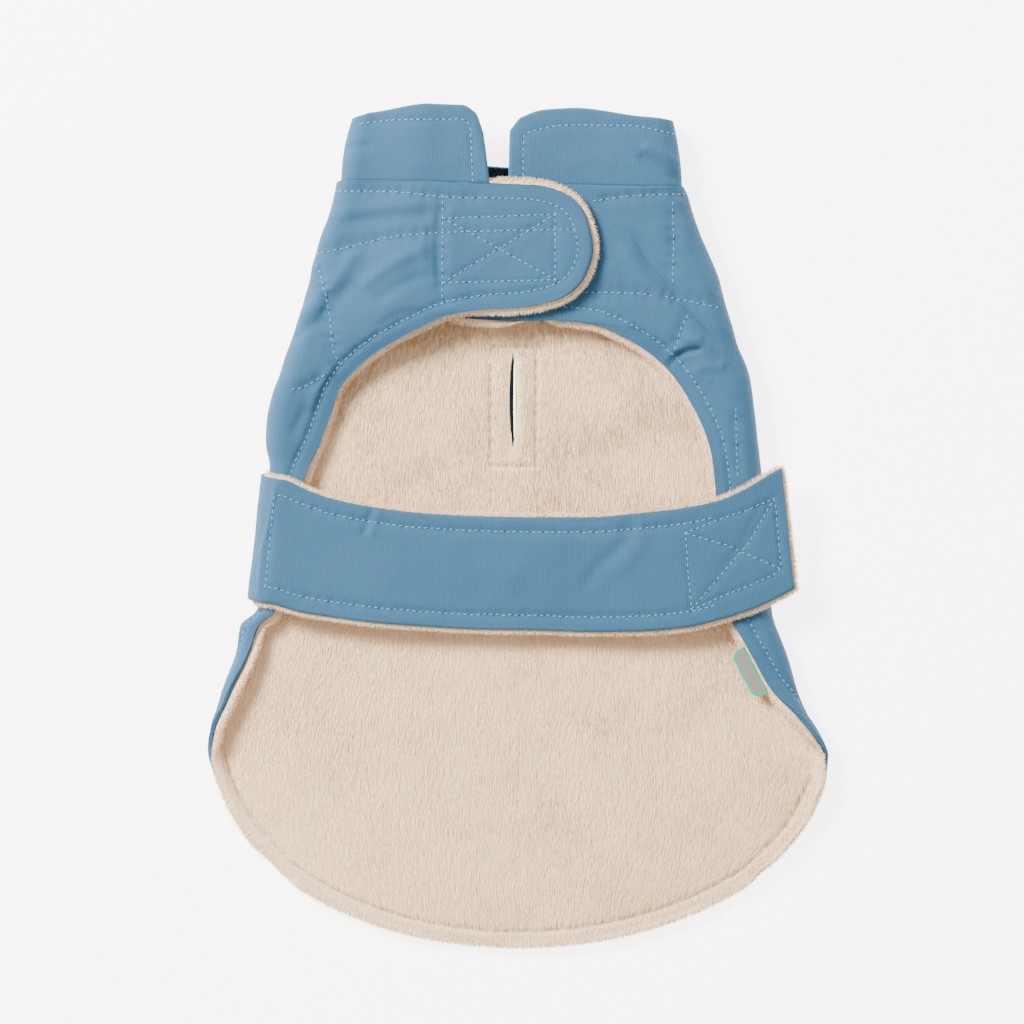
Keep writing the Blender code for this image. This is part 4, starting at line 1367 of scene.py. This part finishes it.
class COAT_OT_collar(bpy.types.Operator):
    """Stand-up collar, cotton on both sides, with rounded front ends"""

    bl_idname = "coat.collar"
    bl_label = "Collar"

    def execute(self, context):
        band, place = collar_surface()
        normals = normals_up(band, 15, 5)
        top = surface_tree(band)
        lines = laid(top, COLLAR_LINES, True) + laid(top, COLLAR_CREASES, False)
        depth = pressed(band, lines)
        levels = np.linspace(0, 1, len(band))[:, None]
        swell = waves(band, 30.0, 0.8, 7) + 1.0 * np.sin(math.pi * levels)
        standing = smooth((band[:, :, 2] - 1.2) / 2.0)
        outer = band + normals * ((swell - depth) * standing)[:, :, None]
        outer[:, :, 2] = np.maximum(outer[:, :, 2], 0.1)
        inner = band - normals * COLLAR_WALL
        obj = wall_mesh("collar_cloth", outer, inner, place, 2, 0.9, 5, two_sided=True)
        obj.data.materials.append(cotton_material("collar_cotton", contrast=1.3))
        # The collar's inner face takes the cotton darkened to 0.22: painted shade on the inside of
        # the back collar seen between the front ends.
        inside = tint(coloured("cotton"), 0.22)
        obj.data.materials.append(cotton_material("collar_inside", base=inside))
        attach(obj, "root")
        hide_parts("collar")
        stitches = stitched("collar_stitches", [line[0] for line in lines if line[3]], obj)
        return {"FINISHED"}


def strap_surface(columns, rows):
    """The strap's outer face, across its width and along its run."""
    wall = SHELL_WALL + SEAM_GAP + STRAP_LINING_WALL
    curl = LEFT[STRAP_ROW].arc / math.radians(LEFT[STRAP_ROW].turn)
    radius = curl + SEAM_GAP + wall
    sections = []
    turned, sewn = STRAP_WRAP_ENDS
    for step in range(STRAP_WRAP_COLUMNS + 1):
        share = step / STRAP_WRAP_COLUMNS
        angle = math.radians(STRAP_WRAP_START + (90 - STRAP_WRAP_START) * share)
        top_x, top_y, low_x, low_y = (a + (b - a) * share for a, b in zip(sewn, turned))
        back = radius * math.cos(angle)
        sections.append((top_x - back, top_y, low_x - back, low_y, curl + radius * math.sin(angle)))
    sections += [tuple(band) for band in STRAP]
    at = np.linspace(0, len(sections) - 1, columns + 1)
    fine = eased(sections, at)
    share = np.linspace(1, 0, rows + 1)[:, None]
    x = fine[:, 0] * (1 - share) + fine[:, 2] * share
    y = fine[:, 1] * (1 - share) + fine[:, 3] * share
    z = np.tile(fine[:, 4], (rows + 1, 1))
    grid = np.stack([x, y, z], axis=2)
    middle = grid[rows // 2]
    run = np.concatenate([[0], np.cumsum(np.linalg.norm(np.diff(middle, axis=0), axis=1))])
    width = np.linalg.norm(grid[-1] - grid[0], axis=1)
    return grid, np.stack([np.tile(run, (rows + 1, 1)), (1 - share) * width], axis=2)


class COAT_OT_strap(bpy.types.Operator):
    """Belly strap: outer cloth with its sewn boxes, and a plush lining"""

    bl_idname = "coat.strap"
    bl_label = "Belly strap"

    def execute(self, context):
        grid, place = strap_surface(STRAP_COLUMNS, STRAP_ROWS)
        normals = normals_up(grid, 24, 200)
        tree = surface_tree(grid)
        lines = [
            (spaced(grid[row, STRAP_STITCHED], LINE_STEP), STITCH_DEPTH, STITCH_WIDTH, True)
            for row in (STRAP_INSET, STRAP_ROWS - STRAP_INSET)
        ]
        lines += laid(tree, STRAP_LINES, True, spaced) + laid(tree, STRAP_CREASES, False)
        depth = pressed(grid, lines)
        swell = waves(grid, 40.0, 1.0, 9) + waves(grid, 14.0, 0.25, 10)
        loop = rim_of(grid.shape)
        swell[loop[:, 0], loop[:, 1]] *= 0.3
        outer = grid + normals * (swell - depth)[:, :, None]
        cloth = wall_mesh("strap_cloth", outer, grid - normals * SHELL_WALL, place, 3, 0.5)
        cloth.data.materials.append(cotton_material("strap_cotton", contrast=1.3))
        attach(cloth, "root")
        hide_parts("strap_shell")
        stitches = stitched("strap_stitches", [line[0] for line in lines if line[3]], cloth)

        grid, place = strap_surface(STRAP_COLUMNS // 2, STRAP_ROWS // 4)
        normals = normals_up(grid, 6, 100)
        top = grid - normals * (SHELL_WALL + SEAM_GAP)
        low = top - normals * STRAP_LINING_WALL
        face, back = rolled(top, STRAP_ROLL, False), rolled(low, STRAP_ROLL, False)
        plush = wall_mesh("strap_plush", back, face, place, 2, 0.9)
        loop = rim_of(face.shape)
        turned = outward(back, loop)
        nap = np.tile(np.array([0.0, -1.0, 0.0]), (face.shape[0] * face.shape[1], 1))
        rim_nap = np.tile(0.6 * turned + np.array([0.5, -0.2, 0]), (4, 1))
        pile = np.full(len(nap), 0.05)
        set_attribute(plush, "nap", "FLOAT_VECTOR", np.vstack([nap, rim_nap]))
        set_attribute(plush, "pile", "FLOAT", np.concatenate([pile, np.full(len(rim_nap), 2.6)]))
        set_attribute(plush, "reach", "FLOAT", np.full(len(nap) + len(rim_nap), 0.42))
        fuzz = grow_pile("strap_pile", plush, STRAP_PILE_LEAN, 31)
        drop_attributes(plush, "nap", "pile", "reach")
        plush.data.materials.append(shared("plush_ground", lambda: plush_material("plush_ground")))
        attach(plush, "root")
        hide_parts("strap_lining")
        return {"FINISHED"}


class COAT_OT_label(bpy.types.Operator):
    """Small woven label with a mint edge"""

    bl_idname = "coat.label"
    bl_label = "Label"

    def execute(self, context):
        start, end = Vector(LABEL_LOW_END), Vector(LABEL_HIGH_END)
        length = (end - start).length
        rim = self.outline(length, 0.0) + [(length, 0.0), (0.0, 0.0)]
        middle = self.outline(length, LABEL_EDGE)
        middle += [(length - LABEL_EDGE, LABEL_EDGE * 0.6), (LABEL_EDGE, LABEL_EDGE * 0.6)]
        count = len(rim)
        levels = [(middle, LABEL_WALL), (rim, LABEL_WALL), (rim, 0.0), (middle, 0.0)]
        points = [(x * MM, y * MM, z * MM) for line, z in levels for x, y in line]
        faces = [tuple(range(count)), tuple(range(3 * count, 4 * count))[::-1]]
        for level in range(3):
            for n in range(count):
                after = (n + 1) % count
                first, second = level * count, (level + 1) * count
                faces.append((first + n, second + n, second + after, first + after))
        mesh = bpy.data.meshes.new("woven_label")
        mesh.from_pydata(points, [], faces)
        mesh.polygons[0].material_index = mesh.polygons[1].material_index = 1
        faced_out(mesh)
        heading = math.atan2(end.y - start.y, end.x - start.x)
        place = Euler((-math.radians(LABEL_DROOP), 0, heading)).to_matrix().to_4x4()
        place.translation = Vector((start.x, start.y, LABEL_SEAM_HEIGHT - LABEL_WALL / 2)) * MM
        mesh.transform(place)
        obj = placed("woven_label", mesh)
        for name, colour in (("label_edge", coloured("mint")), ("label_middle", coloured("label"))):
            paint = Paint(name, roughness=0.7)
            weave = paint.mottle(1500.0, 2.0)
            paint.colour(paint.mixed(weave, tint(colour, 0.75), tint(colour, 1.25)))
            mesh.materials.append(paint.material)
        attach(obj, "root")
        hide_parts("label")
        return {"FINISHED"}

    @staticmethod
    def outline(length, inset):
        """The rounded side of the label, from its first end to its last, drawn in by inset."""
        corner = LABEL_CORNER - inset
        turn = np.linspace(0, math.pi / 2, 9)
        near = [
            (inset + corner * (1 - math.cos(a)), LABEL_DEPTH - inset - corner * (1 - math.sin(a)))
            for a in turn
        ]
        return near + [(length - x, y) for x, y in near[::-1]]


class COAT_OT_stitching(bpy.types.Operator):
    """Topstitching and quilting stitches of the body"""

    bl_idname = "coat.stitching"
    bl_label = "Stitching"

    def execute(self, context):
        shell = bpy.data.objects["shell_cloth"]
        lines = [points for points, _, _, sewn in shell_lines() if sewn]
        stitches = stitched("body_stitches", lines, shell)
        return {"FINISHED"}


class COAT_OT_stage(bpy.types.Operator):
    """Pale floor, soft lights and the camera, straight above the coat"""

    bl_idname = "coat.stage"
    bl_label = "Stage"

    def execute(self, context):
        scene = context.scene
        mesh = bpy.data.meshes.new("floor")
        mesh.from_pydata([(-3, -3, 0), (3, -3, 0), (3, 3, 0), (-3, 3, 0)], [], [(0, 1, 2, 3)])
        mesh.transform(Matrix.Translation((0, 0, -FLOOR_DROP)))
        floor = placed("floor", mesh)
        paint = Paint("floor", roughness=0.9)
        paint.colour(paint.mixed(paint.mottle(2.0, 1.0), (0.93, 0.93, 0.93), (0.95, 0.95, 0.95)))
        paint.shader.inputs["Emission Color"].default_value = (1, 1, 1, 1)
        paint.shader.inputs["Emission Strength"].default_value = FLOOR_GLOW
        mesh.materials.append(paint.material)

        world = bpy.data.worlds.new("studio")
        world.use_nodes = True
        background = world.node_tree.nodes["Background"].inputs
        background[0].default_value, background[1].default_value = (1, 1, 1, 1), STUDIO_GLOW
        scene.world = world
        for lamp in LAMPS:
            light = bpy.data.lights.new(lamp.name, "AREA")
            light.size, light.energy = lamp.size, lamp.power
            hung = placed(lamp.name, light)
            hung.location = lamp.place
            hung.rotation_euler = (-Vector(lamp.place)).to_track_quat("-Z", "Y").to_euler()

        camera = bpy.data.cameras.new("camera")
        camera.lens = CAMERA_LENS
        camera.clip_end = 50
        eye = placed("camera", camera)
        eye.location = CAMERA_PLACE
        scene.camera = eye
        return {"FINISHED"}


OPERATORS = (
    COAT_OT_stage, COAT_OT_shell, COAT_OT_lining, COAT_OT_collar, COAT_OT_strap, COAT_OT_label,
    COAT_OT_stitching,
)


class COAT_PT_panel(bpy.types.Panel):
    """The coat's sizes, colours and pieces"""

    bl_idname = "COAT_PT_panel"
    bl_label = "Dog winter coat"
    bl_space_type = "VIEW_3D"
    bl_region_type = "UI"
    bl_category = "Coat"

    def draw(self, context):
        for group in (context.scene.coat_sizes, context.scene.coat_colours):
            box = self.layout.box()
            for name in group.bl_rna.properties.keys():
                if name not in ("rna_type", "name"):
                    box.prop(group, name)
        for operator in OPERATORS:
            self.layout.operator(operator.bl_idname)


CLASSES = (CoatSizes, CoatColours, *OPERATORS, COAT_PT_panel)


def register():
    for cls in CLASSES:
        bpy.utils.register_class(cls)
    bpy.types.Scene.coat_sizes = PointerProperty(type=CoatSizes)
    bpy.types.Scene.coat_colours = PointerProperty(type=CoatColours)


def unregister():
    del bpy.types.Scene.coat_colours
    del bpy.types.Scene.coat_sizes
    for cls in reversed(CLASSES):
        bpy.utils.unregister_class(cls)


def main():
    register()
    for operator in OPERATORS:
        group, name = operator.bl_idname.split(".")
        getattr(getattr(bpy.ops, group), name)()


if __name__ == "__main__":
    main()
